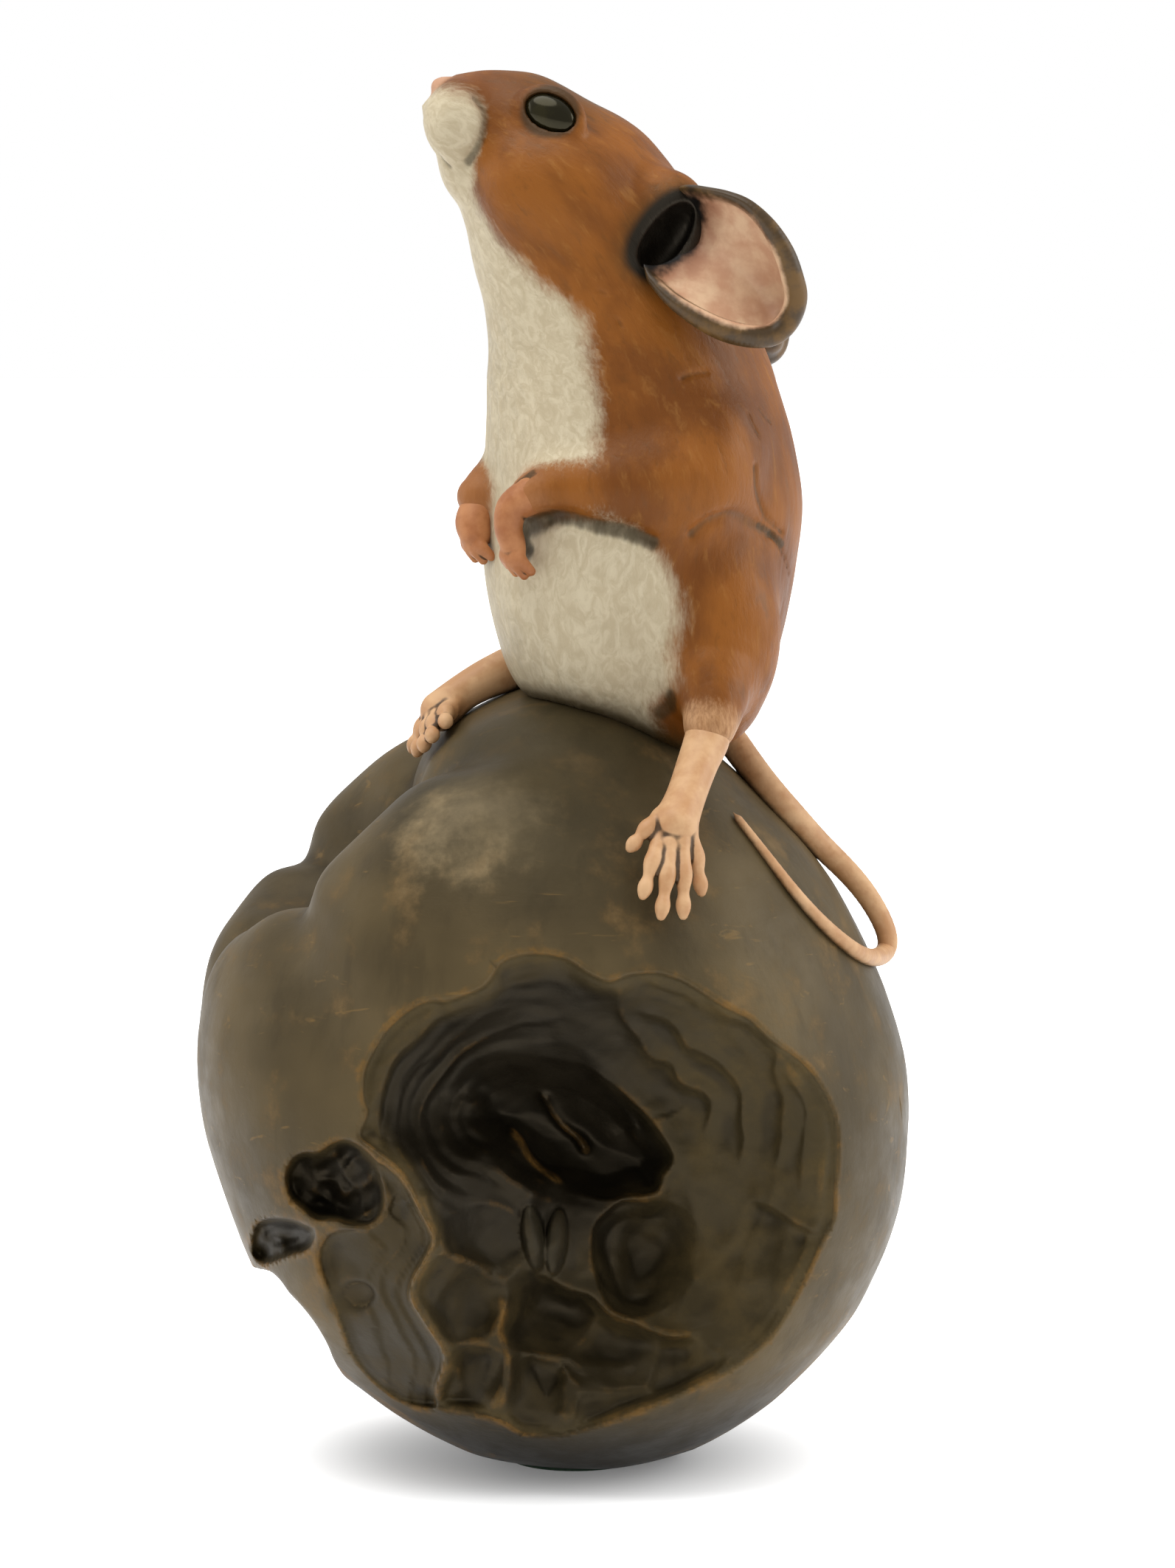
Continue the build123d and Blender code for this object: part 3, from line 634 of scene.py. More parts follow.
def toothMarks():
    # rings of marks round the core, crisp where two of them meet
    teeth = gnawed["teeth"]
    rng = np.random.default_rng(teeth["seed"])
    dx, dy = bentColumns - teeth["middle"][0], bentRows - teeth["middle"][1]
    ring, turn = np.hypot(dx, dy), np.arctan2(dy, dx)
    marks = np.full(columns.shape, -0.3)
    for j, radius in enumerate(np.arange(*teeth["rings"])):
        count = int(2 * math.pi * radius / teeth["apart"])
        for i in range(count):
            angle = 2 * math.pi * (i + 0.5 * (j % 2) + rng.uniform(-0.3, 0.3)) / count
            spread = rng.uniform(*teeth["spread"])
            shift = rng.uniform(-teeth["shift"], teeth["shift"])
            offset = (ring - radius - shift) / rng.uniform(*teeth["height"])
            swing = (turn - angle + math.pi) % (2 * math.pi) - math.pi
            fall = rng.uniform(*teeth["fall"])
            marks = blendMax(marks, fall * (1 - offset**2 - (swing * radius / spread) ** 2), 0.3)
    return marks


def ovalShare(across, down, middle, half, tilt):
    # 0 in the middle of a tilted oval and 1 on its edge, squared
    c, s = math.cos(math.radians(tilt)), math.sin(math.radians(tilt))
    dx, dy = across - middle[0], down - middle[1]
    return ((dx * c + dy * s) / half[0]) ** 2 + ((dy * c - dx * s) / half[1]) ** 2


def crispTo(side, edge, crisp, soft):
    # a fall that is crisp where side is 1 and soft where it is 0
    crisp, soft = np.interp(edge, *gnawed[crisp]), np.interp(edge, *gnawed[soft])
    return soft + (crisp - soft) * side


def hollowDepths(skin, rim, inner):
    # depth of the hollow's floor under the skin, how much gold is rubbed on it, and its pips
    bowl = bowlDepths(*gnawed["bowl"]) - skin
    wall, least = np.interp(rim, *gnawed["wallFall"]), np.interp(rim, *gnawed["leastFall"])
    depth = np.maximum(blendMin(bowl, wall, 1.2), least)
    depth += (softened(depth, 20) - depth) * smoothStep(rim, 0.8, 3.0)
    depth += crispTo(smoothStep(bentColumns, 760, 880), inner, "innerCrisp", "innerSoft")
    pocket = outlineDepth(gnawed["pocket"])
    depth += crispTo(smoothStep(930 - bentColumns, 0, 90), pocket, "pocketCrisp", "pocketSoft")
    for fall, reach, line in gnawed["steps"]:
        away, along = beside(line)
        fade = smoothStep(along, 0, 0.2) * smoothStep(1 - along, 0, 0.25)
        inward = np.clip(away, 0, None)
        drop = 1.7 * (1 - np.exp(-inward / 0.9)) * np.exp(-inward / reach)
        lip = 0.2 * np.exp(-((away / 1.3) ** 2))
        depth += fall * fade * (drop - lip) * smoothStep(rim, 0.2, 1.2)
    strength = gnawed["teeth"]["strength"] * smoothStep(rim, 0.5, 2.5) * smoothStep(-inner, 0.6, 2.2)
    leftSide = smoothStep(820 - columns, 0, 230) * smoothStep(1690 - rows, 0, 120)
    strength *= 1 - 0.55 * leftSide
    depth += strength * toothMarks()
    ringDepth, ringTurn = gnawed["rings"]
    rings = np.sin(inner * ringTurn + 2.2 * cloudMap(28, 60)) * (0.7 + 0.6 * cloudMap(29, 40))
    depth += ringDepth * rings * leftSide * smoothStep(rim, 1.0, 2.5) * smoothStep(-inner, -3.0, -1.0)
    dips = np.full(columns.shape, -0.25)
    for column, row, wide, high, tilt, fall in gnawed["dips"]:
        share = ovalShare(bentColumns, bentRows, (column, row), (wide, high), tilt)
        dips = blendMax(dips, fall * (1 - share), 0.25)
    depth += dips * smoothStep(rim, 0.3, 1.5)
    gold = np.zeros(columns.shape)
    uneven = 0.8 + 0.3 * cloudMap(24, 18)
    for tall, left, right, rubbed, line in gnawed["ridges"]:
        away, along = beside(line)
        fade = smoothStep(along, 0, 0.15) * smoothStep(1 - along, 0, 0.15)
        width = np.where(away < 0, left, right)
        depth -= tall * uneven * fade * np.exp(-((away / width) ** 2)) * smoothStep(rim, 0.2, 1.2)
        gold = np.maximum(gold, rubbed * fade * np.exp(-((away / 0.55) ** 2)))
    inside = smoothStep(rim, 0.3, 2)
    depth += 0.20 * cloudMap(21, 24) * inside + 0.09 * cloudMap(22, 10) * inside
    seeds = np.zeros(columns.shape)
    for column, row, tilt in gnawed["pips"]:
        share = ovalShare(columns, rows, (column, row), gnawed["pipHalf"], tilt)
        seeds = np.maximum(seeds, np.sqrt(np.clip(1 - share, 0, 1)))
    return depth - gnawed["pipRise"] * seeds, gold, seeds


def shelfDepths(shelf):
    lowered = np.interp(shelf, *gnawed["shelfFall"])
    for fall, outline in gnawed["layers"]:
        lowered += fall * smoothStep(outlineDepth(outline), -0.1, 0.25) * smoothStep(shelf, 0, 0.6)
    return lowered + 0.15 * cloudMap(23, 16) * smoothStep(shelf, 0.2, 1.5)


def gnawedMap():
    skin = skinDepths()
    rim, inner = outlineDepth(gnawed["rim"], bent=False), outlineDepth(gnawed["inner"])
    shelf = outlineDepth(gnawed["shelf"], bent=False)
    depth, gold, seeds = hollowDepths(skin, rim, inner)
    shape = np.maximum(depth, shelfDepths(shelf))
    bitten, nearBite = np.zeros(columns.shape), np.zeros(columns.shape)
    facets = 0.4 * cloudMap(25, 16) + 1.3 * np.abs(cloudMap(26, 22)) + 0.9 * np.abs(cloudMap(27, 15))
    for fall, outline in gnawed["bites"]:
        away = outlineDepth(outline, bent=False)
        scoop = np.interp(away, *gnawed["biteFall"]) * fall + facets * smoothStep(away, 0, 1.0)
        shape = np.maximum(shape, scoop)
        bitten = np.maximum(bitten, smoothStep(away, 0, 0.8))
        nearBite = np.maximum(nearBite, smoothStep(away, -1.6, -0.5))
    lip = np.abs(np.where(rim > -0.6, rim, shelf))
    gold = np.maximum(gold, 0.7 * np.exp(-((lip / 0.24) ** 2))) * (1 - nearBite)
    # painted shade: the floor is darkest down the left side, where less light reaches, round the core, in the
    # bites and on the shelf
    leftward = smoothStep(980 - columns, 0, 190) * (1 - 0.5 * smoothStep(rows, 1650, 1730))
    dark = smoothStep(shape, 0.6, 5.0) * (0.22 + 0.78 * leftward)
    roundCore, onShelf = smoothStep(inner, -0.5, 1.5), smoothStep(shelf, -0.3, 0.8)
    for shade in (roundCore, 0.75 * bitten, 0.45 * nearBite, 0.55 * onShelf):
        dark = np.maximum(dark, shade)
    floor = skin + shape
    slopeAcross, slopeDown = np.gradient(floor, gnawed["step"] * gnawed["mmPerPixel"])
    # a steep place of the floor is nearer than it looks along the line of sight
    steepness = 1 / np.sqrt(1 + np.clip(slopeAcross**2 + slopeDown**2, 0, 12))
    return floor.astype(np.float32), steepness.astype(np.float32), shape, gold, seeds, dark


floorMap, steepMap, shapeMap, goldMap, seedMap, paintedShadeMap = gnawedMap()
print("gnawed floor mapped")


def mapped(values, column, row):
    # a map's value between its places
    i = np.clip((column - gnawed["low"][0]) / gnawed["step"], 0, values.shape[0] - 1.01)
    j = np.clip((row - gnawed["low"][1]) / gnawed["step"], 0, values.shape[1] - 1.01)
    a, b = i.astype(int), j.astype(int)
    s, t = i - a, j - b
    top = values[a, b] * (1 - s) + values[a + 1, b] * s
    return top * (1 - t) + (values[a, b + 1] * (1 - s) + values[a + 1, b + 1] * s) * t


# Chips broken off the lower left, which show in the outline: centre column, row and depth y,
# radii along the outline, across it and into the picture, then the way the outline runs
chips = [
    ((386, 1794, -9.0), (7.6, 3.9, 24.0), (0.68, 0, -0.73)),
    ((426, 1852, -9.0), (4.0, 2.5, 22.0), (0.60, 0, -0.80)),
    ((368, 1750, -9.0), (3.2, 2.4, 20.0), (0.75, 0, -0.66)),
    ((456, 1776, -30.0), (2.6, 4.6, 3.4), (0.50, 0, -0.86)),
]
chipFacing = (0, 1, -0.19)  # lines of sight run this way at the apple's foot


def unevenness(clay, cell, seed):
    # a smooth random field over the clay, about -1 to 1, its swells a cell of millimetres across
    shares = [splineShares(n, cell / clay.step) for n in clay.size]
    counts = [weights.shape[1] for weights in shares]
    coarse = np.random.default_rng(seed).uniform(-2.2, 2.2, counts).astype(np.float32)
    for weights in shares:
        coarse = np.tensordot(coarse, weights, axes=(0, 1))
    return coarse


def trimToApple(clay, corners):
    # what sits on the apple stops close above its skin
    where, spot = clay.window(corners, 0)
    clay.field[where] = np.maximum(clay.field[where], 0.02 - appleForm(*spot))


def makeApple():
    clay = Clay(*apple["box"], apple["step"])
    x, y, z = (line.astype(np.float32) for line in clay.lines)
    for k in range(0, clay.size[2], 24):
        level = slice(k, k + 24)
        clay.field[:, :, level] = appleForm(x[:, None, None], y[None, :, None], z[None, None, level])
    clay.field += sum(rise * unevenness(clay, cell, seed) for rise, cell, seed in apple["uneven"])
    where, (gx, gy, gz) = clay.window(apple["gnawedBox"], 0)
    column, row, depth = seen(gx, gy, gz)
    row, depth = row + 0 * column, depth + 0 * column
    column = column + 0 * row
    removed = (mapped(floorMap, column, row) - depth) * mapped(steepMap, column, row)
    clay.field[where] = np.maximum(clay.field[where], removed.astype(np.float32))
    for place, radii, along in chips:
        clay.carve(egg(onPixel(*place), radii, along, chipFacing), 0.6)
    clay.field = np.maximum(clay.field, apple["foot"] - clay.lines[2][None, None, :])
    return clay


appleClay = makeApple()
print("apple carved")
appleSkin, applePoints, _ = fired(appleClay, "appleBody", thin=0.004)
column, row, depth = seen(*applePoints.T)
offFloor = np.abs(depth - mapped(floorMap, column, row))
onFloor = offFloor < 0.9
paint(appleSkin, "hollow", onFloor * smoothStep(mapped(shapeMap, column, row), 0.1, 1.2))
# painted shade in the hollow, darker down its left side
paint(appleSkin, "deep", onFloor * mapped(paintedShadeMap, column, row))
paint(appleSkin, "gold", (offFloor < 2.0) * mapped(goldMap, column, row))
# a painted highlight: a lighter spot where light falls on the apple's upper lobe
fromHighlight = awayFrom(applePoints, [appleClay.land(*apple["paintedHighlight"])])
paint(appleSkin, "paintedHighlight", 1 - smoothStep(fromHighlight, *apple["paintedHighlightReach"]))
# painted shade at the apple's foot, near the floor
paint(appleSkin, "under", 1 - smoothStep(applePoints[:, 2], *apple["floorShadeReach"]))
# distance from the mouse's seat, for the painted shade and wash under the mouse
paint(appleSkin, "seatAway", awayFrom(applePoints, [apple["seatShadeAndWash"]]))
paint(appleSkin, "seed", onFloor * mapped(seedMap, column, row))
paint(appleSkin, "edge", curving(appleClay, applePoints, 0.9))
paint(appleSkin, "fold", curving(appleClay, applePoints, 2.2))


# Mouse: the same spine as the cast body, filled out with muscles, folds and features
mouse = {
    "height": 76.6,
    "seat": (10.3, -1.8, 84.0),
    # corners of the clay and of the part that sits on the apple, and the size of a cell
    "box": ((-19, -25.5, 79), (32, 22, 163)),
    "seatBox": ((-19, -26, 78), (32, 22, 97)),
    "step": 0.32,
    # unevenness of the cast skin: rise, cell and seed
    "uneven": [(0.20, 6.5, 41), (0.07, 2.4, 42)],
    # sideways, depth and height in mouse heights, half depth, half width, then pitch and yaw in degrees
    "spine": [
        (0.007, 0.000, 0.017, 0.126, 0.113, 90, 35), (0.000, 0.000, 0.078, 0.191, 0.172, 90, 35),
        (-0.006, 0.000, 0.156, 0.221, 0.199, 90, 35), (-0.006, 0.000, 0.255, 0.240, 0.216, 90, 35),
        (0.002, 0.000, 0.355, 0.245, 0.221, 90, 35), (-0.006, 0.000, 0.456, 0.236, 0.213, 88, 34),
        (-0.024, -0.010, 0.545, 0.218, 0.198, 83, 32), (-0.051, -0.026, 0.633, 0.192, 0.180, 72, 27),
        (-0.085, -0.039, 0.728, 0.176, 0.163, 60, 20), (-0.127, -0.050, 0.803, 0.161, 0.147, 50, 14),
        (-0.177, -0.060, 0.861, 0.128, 0.118, 42, 10), (-0.221, -0.068, 0.906, 0.102, 0.090, 36, 8),
        (-0.266, -0.076, 0.938, 0.069, 0.060, 32, 8), (-0.297, -0.081, 0.950, 0.044, 0.041, 30, 8),
    ],
    "rumpEnd": (0.009, 0.000, -0.010),
    "noseEnd": (-0.327, -0.086, 0.942),
}
seat = np.array(mouse["seat"])


def atSeat(*shares):
    return seat + np.array(shares[:3]) * mouse["height"]


def knotsAtSeat(table):
    return [(*atSeat(*row), row[3] * mouse["height"]) for row in table]


spineRows = smoothLine(mouse["spine"], 8)


def spineAxes(row):
    pitch, yaw = math.radians(row[5]), math.radians(row[6])
    ahead = np.array([-math.cos(pitch) * math.cos(yaw), -math.cos(pitch) * math.sin(yaw), math.sin(pitch)])
    side = np.array([math.sin(yaw), -math.cos(yaw), 0])
    return side, np.cross(ahead, side), ahead


def trunkClay():
    # rings along the spine, closed at both ends and turned into distances
    around = np.linspace(0, 2 * math.pi, 72, endpoint=False)
    points, quads, triangles = [], [], []
    for row in spineRows:
        side, back, _ = spineAxes(row)
        middle = atSeat(*row)
        wide, deep = row[4] * mouse["height"], row[3] * mouse["height"]
        points.append(middle + np.outer(np.cos(around) * wide, side) + np.outer(np.sin(around) * deep, back))
    points = np.vstack(points + [[atSeat(*mouse["rumpEnd"])], [atSeat(*mouse["noseEnd"])]])
    n, ringCount = len(around), len(spineRows)
    for r in range(ringCount - 1):
        for i in range(n):
            j = (i + 1) % n
            quads.append((r * n + i, r * n + j, (r + 1) * n + j, (r + 1) * n + i))
    for i in range(n):
        j = (i + 1) % n
        triangles.append((j, i, ringCount * n))
        triangles.append(((ringCount - 1) * n + i, (ringCount - 1) * n + j, ringCount * n + 1))
    clay = Clay(*mouse["box"], mouse["step"])
    grid = openvdb.FloatGrid.createLevelSetFromPolygons(
        points.astype(np.float32),
        triangles=np.array(triangles, np.uint32),
        quads=np.array(quads, np.uint32),
        transform=openvdb.createLinearTransform(clay.step),
        halfWidth=12.0,
    )
    grid.copyToArray(clay.field, ijk=tuple(int(v) for v in np.round(clay.low / clay.step)))
    return clay


body = trunkClay()
print("trunk lofted")
headAxis = (-0.84, -0.10, 0.53)
nearEye, farEye = atSeat(-0.137, -0.152, 0.927), atSeat(-0.163, 0.018, 0.927)
nearGaze, farGaze = (-0.10, -0.96, 0.26), (0.05, 0.94, 0.33)
legTables = {
    "nearShank": [(0.098, -0.170, 0.117, 0.070), (0.100, -0.215, 0.072, 0.048),
                  (0.095, -0.238, 0.042, 0.038)],
    "farShank": [(-0.110, 0.118, 0.138, 0.058), (-0.158, 0.104, 0.110, 0.045), (-0.209, 0.078, 0.094, 0.032)],
    "nearArm": [(0.085, -0.125, 0.440, 0.085), (0.070, -0.155, 0.398, 0.082), (0.020, -0.185, 0.392, 0.068),
                (-0.035, -0.200, 0.386, 0.054), (-0.085, -0.204, 0.384, 0.044),
                (-0.130, -0.201, 0.382, 0.036), (-0.170, -0.197, 0.374, 0.028)],
    "farArm": [(-0.060, 0.090, 0.440, 0.080), (-0.120, 0.040, 0.395, 0.058), (-0.203, -0.022, 0.386, 0.046),
               (-0.243, -0.058, 0.366, 0.033)],
}

# form, then how softly it joins the body
bodyForms = [
    (egg(atSeat(0.098, -0.125, 0.165), (7.9, 7.2, 12.2)), 2.6),
    (egg(atSeat(-0.020, 0.155, 0.165), (9.0, 7.0, 12.0)), 3.0),
    (egg(atSeat(0.052, -0.045, 0.060), (8.6, 9.5, 6.0)), 3.0),
    (limb(knotsAtSeat(legTables["nearShank"])), 1.6),
    (limb(knotsAtSeat(legTables["farShank"])), 1.6),
    (limb(knotsAtSeat(legTables["nearArm"])), 3.2),
    (limb(knotsAtSeat(legTables["farArm"])), 1.5),
    (egg(onPixel(748, 262, -13.0), (6.8, 4.2, 5.6), headAxis), 4.0),
    (egg(onPixel(770, 262, 3.0), (6.8, 4.2, 5.6), headAxis), 4.0),
    (egg(onPixel(614, 163, -11.6), (4.1, 3.2, 3.2), (0.12, 0, 1), (0, 1, 0)), 3.4),
    (egg(onPixel(621, 163, -4.4), (4.1, 3.2, 3.2), (0.12, 0, 1), (0, 1, 0)), 3.4),
    (egg(onPixel(627, 228, -8.2), (2.1, 2.6, 2.8), (0.2, 0, 1)), 2.2),
    (egg(onPixel(602, 117, -8.6), (1.6, 1.5, 1.2), headAxis), 0.8),
    (egg(nearEye, (4.3, 3.2, 1.25), headAxis, nearGaze), 1.0),
    (egg(farEye, (4.3, 3.2, 1.25), headAxis, farGaze), 1.0),
    (egg(onPixel(905, 300, -11.0), (4.6, 3.8, 5.6)), 2.4),
    (egg(onPixel(925, 330, 4.0), (4.6, 3.8, 5.6)), 2.4),
]
for form, soft in bodyForms:
    body.join(form, soft)
eyeRadii = (3.2, 2.2, 1.9)
for middle, gaze in ((nearEye, nearGaze), (farEye, farGaze)):
    outward = np.array(gaze) / np.linalg.norm(gaze)
    body.carve(egg(middle + outward * 0.7, eyeRadii, headAxis, gaze), 0.2)

# grooves cut along the surface: half width in millimetres, softness, then columns and rows
grooves = [
    (0.16, 1.6, [(940, 724), (958, 710), (976, 702), (993, 699), (1011, 704), (1028, 712), (1044, 724)]),
    (0.30, 0.5, [(1025, 632), (1026, 648), (1028, 666), (1033, 684), (1039, 701), (1049, 712), (1060, 722)]),
    (0.26, 0.5, [(1044, 724), (1056, 740), (1064, 760), (1068, 776)]),
    (0.28, 1.0, [(646, 132), (655, 146), (658, 162), (654, 184), (645, 204), (634, 220)]),
    (0.26, 0.5, [(584, 200), (592, 209), (600, 219), (610, 228)]),
    (0.36, 0.5, [(698, 662), (707, 652), (716, 645), (724, 640)]),
    (0.85, 1.0, [(712, 744), (707, 732), (712, 720), (728, 710), (744, 704)]),
    (0.45, 1.2, [(744, 704), (770, 701), (812, 712), (850, 719), (886, 734)]),
    (0.26, 0.3, [(1016, 560), (1022, 574), (1030, 590)]),
    (0.24, 0.3, [(1030, 552), (1036, 562), (1046, 572)]),
    (0.22, 0.3, [(926, 512), (942, 506), (960, 504)]),
    (0.20, 0.3, [(812, 394), (818, 397), (824, 399)]),
    (0.22, 0.3, [(838, 433), (841, 437), (843, 441)]),
]
for half, soft, places in grooves:
    landed = [(*body.land(c, r, -half * 0.3), half) for c, r in places]
    body.carve(limb(landed, 3), soft)
# the ear's opening slants up beside the cheek
earPit = egg(onPixel(904, 317, -15.0), (4.6, 1.9, 4.4), (0.55, 0, 0.84), (-0.45, -0.89, 0))
body.carve(earPit, 0.4)
body.field += sum(rise * unevenness(body, cell, seed) for rise, cell, seed in mouse["uneven"])
trimToApple(body, mouse["seatBox"])
mouseBody, bodyPoints, _ = fired(body, "mouseBody")


# Where each point of the mouse lies: along its spine, and round from the belly
spinePoints = np.array([atSeat(*row) for row in spineRows])
spineFrames = [spineAxes(row) for row in spineRows]
spineRun = np.concatenate([[0], np.cumsum(np.linalg.norm(np.diff(spinePoints, axis=0), axis=1))])


def bodyPlace(points):
    best, along = None, None
    for middle, (side, back, ahead), run in zip(spinePoints, spineFrames, spineRun):
        offset = points - middle
        away = np.abs(offset @ ahead) + 0.15 * np.linalg.norm(offset, axis=1)
        if best is None:
            best = away
            values = [np.full(len(points), run), offset @ side, -(offset @ back)]
        else:
            closer = away < best
            best = np.where(closer, away, best)
            fresh = (run + (offset @ ahead), offset @ side, -(offset @ back))
            values = [np.where(closer, new, old) for new, old in zip(fresh, values)]
    run, side, front = values
    return run, np.abs(np.arctan2(side, front)), np.hypot(side, front), np.arctan2(side, front)


# the edge of the white fur, down the near side
whiteEdge = [
    (612, 122), (640, 132), (655, 152), (652, 190), (642, 228), (641, 262), (660, 300), (680, 332),
    (706, 358), (730, 382), (768, 408), (790, 434), (798, 478), (801, 520), (812, 560), (808, 594),
    (806, 640), (830, 700), (881, 736), (893, 758), (911, 786), (918, 815), (920, 842), (911, 871),
    (911, 912), (903, 934), (884, 955),
]
edgePoints = np.array([body.land(c, r) for c, r in whiteEdge])
edgeRun, edgeTurn, _, _ = bodyPlace(edgePoints)
order = np.argsort(edgeRun)
run, turn, girth, signedTurn = bodyPlace(bodyPoints)
whiteTurn = np.interp(run, edgeRun[order], edgeTurn[order])
paint(mouseBody, "white", (whiteTurn - turn) * np.clip(girth, 2, 20))
paint(mouseBody, "flow", np.stack([run, girth * np.cos(signedTurn), girth * np.sin(signedTurn)], 1))
paint(mouseBody, "fold", curving(body, bodyPoints, 1.0))
armClay = Clay(*mouse["box"], 0.8)
for table in ("nearArm", "farArm"):
    armClay.join(limb(knotsAtSeat(legTables[table])))
paint(mouseBody, "arm", armClay.sample(bodyPoints))
for layer, tables in (("wristAway", ("nearArm", "farArm")), ("ankleAway", ("nearShank", "farShank"))):
    paint(mouseBody, layer, awayFrom(bodyPoints, [atSeat(*legTables[table][-1]) for table in tables]))
paint(mouseBody, "eyeAway", awayFrom(bodyPoints, [nearEye, farEye]))
# painted shade: a dark tone lies under the arm, round the paws and where the belly meets the apple
paintedShadeLines = [
    (2.2, [(716, 748), (708, 732), (716, 716), (736, 706)]),
    (1.5, [(736, 706), (770, 702), (812, 714), (850, 722), (884, 736)]),
    (0.8, [(698, 662), (707, 652), (722, 641)]),
    (1.6, [(896, 966), (908, 956), (912, 944)]),
    (0.8, [(1028, 712), (1046, 724), (1060, 738)]),
]
paintedShade = np.zeros(len(bodyPoints))
for reach, places in paintedShadeLines:
    landed = smoothLine([body.land(c, r) for c, r in places], 4)
    away = awayFrom(bodyPoints, landed)
    paintedShade = np.maximum(paintedShade, 1 - smoothStep(away, reach * 0.25, reach))
paintedShade = np.maximum(paintedShade, 1 - smoothStep(appleForm(*bodyPoints.T), 0.3, 2.2))
paint(mouseBody, "paintedShade", paintedShade)
earRoots = np.array([onPixel(890, 316, -14.5), onPixel(900, 330, 6.0)])


def fromPit(points):
    # from the near ear's opening or the far ear's root
    return np.minimum(earPit[0](*points.T), awayFrom(points, earRoots[1:]) - 0.9)


# distance from the ear's opening, for the painted shade in and round it
paint(mouseBody, "pitAway", fromPit(bodyPoints))
# distance into the apple, for the painted shade where the body sits on it
paint(mouseBody, "seatNear", appleClay.sample(bodyPoints))
paint(mouseBody, "noseAway", awayFrom(bodyPoints, [onPixel(597, 116, -8.6)]))
print("mouse body modelled")


# Ears: cupped shells with a rolled rim
earMould = {
    "step": 0.2,
    "margin": 6,
    # the way from the top of an ear to its tip
    "along": (0.70, -0.10, -0.70),
    "cupReach": 3.0,
    # half thickness of the leaf at its rim and what it gains inwards, radius of the roll and its gain
    "leaf": (0.5, 0.25),
    "roll": (0.45, 0.85),
    # near its root the roll is thinner: by how much, then from where to where
    "rootThins": (1.4, (3.0, 6.5)),
}
ears = {
    "earNear": {
        "node": "ear_left",
        "root": earRoots[0],
        "facing": (-0.40, -0.90, 0.20),
        "cup": 4.6,
        # column, row and depth y of the rim, from the top of its root, round the free edge
        "rim": [
            (905, 262, -11.5), (932, 256, -14.5), (960, 259, -17.0), (987, 265, -18.6), (1014, 278, -19.6),
            (1041, 306, -20.0), (1062, 341, -19.6), (1074, 376, -18.8), (1079, 404, -17.8),
            (1070, 432, -17.2), (1050, 452, -17.4), (1022, 456, -18.2), (984, 448, -19.0),
            (948, 431, -19.2), (909, 405, -18.6), (882, 376, -17.4), (868, 348, -16.0), (866, 320, -14.8),
            (878, 288, -12.6),
        ],
    },
    "earFar": {
        "node": "ear_right",
        "root": earRoots[1],
        "facing": (-0.62, 0.72, 0.30),
        "cup": 4.2,
        "rim": [
            (905, 262, 3.0), (940, 262, 6.0), (975, 280, 8.4), (1005, 310, 9.8), (1030, 350, 10.6),
            (1048, 395, 10.8), (1056, 435, 10.4), (1052, 468, 9.6), (1034, 482, 8.6), (1005, 478, 7.6),
            (975, 462, 6.8), (940, 435, 6.4), (910, 400, 6.0), (893, 360, 5.0), (888, 320, 3.8),
            (892, 285, 3.0),
        ],
    },
}


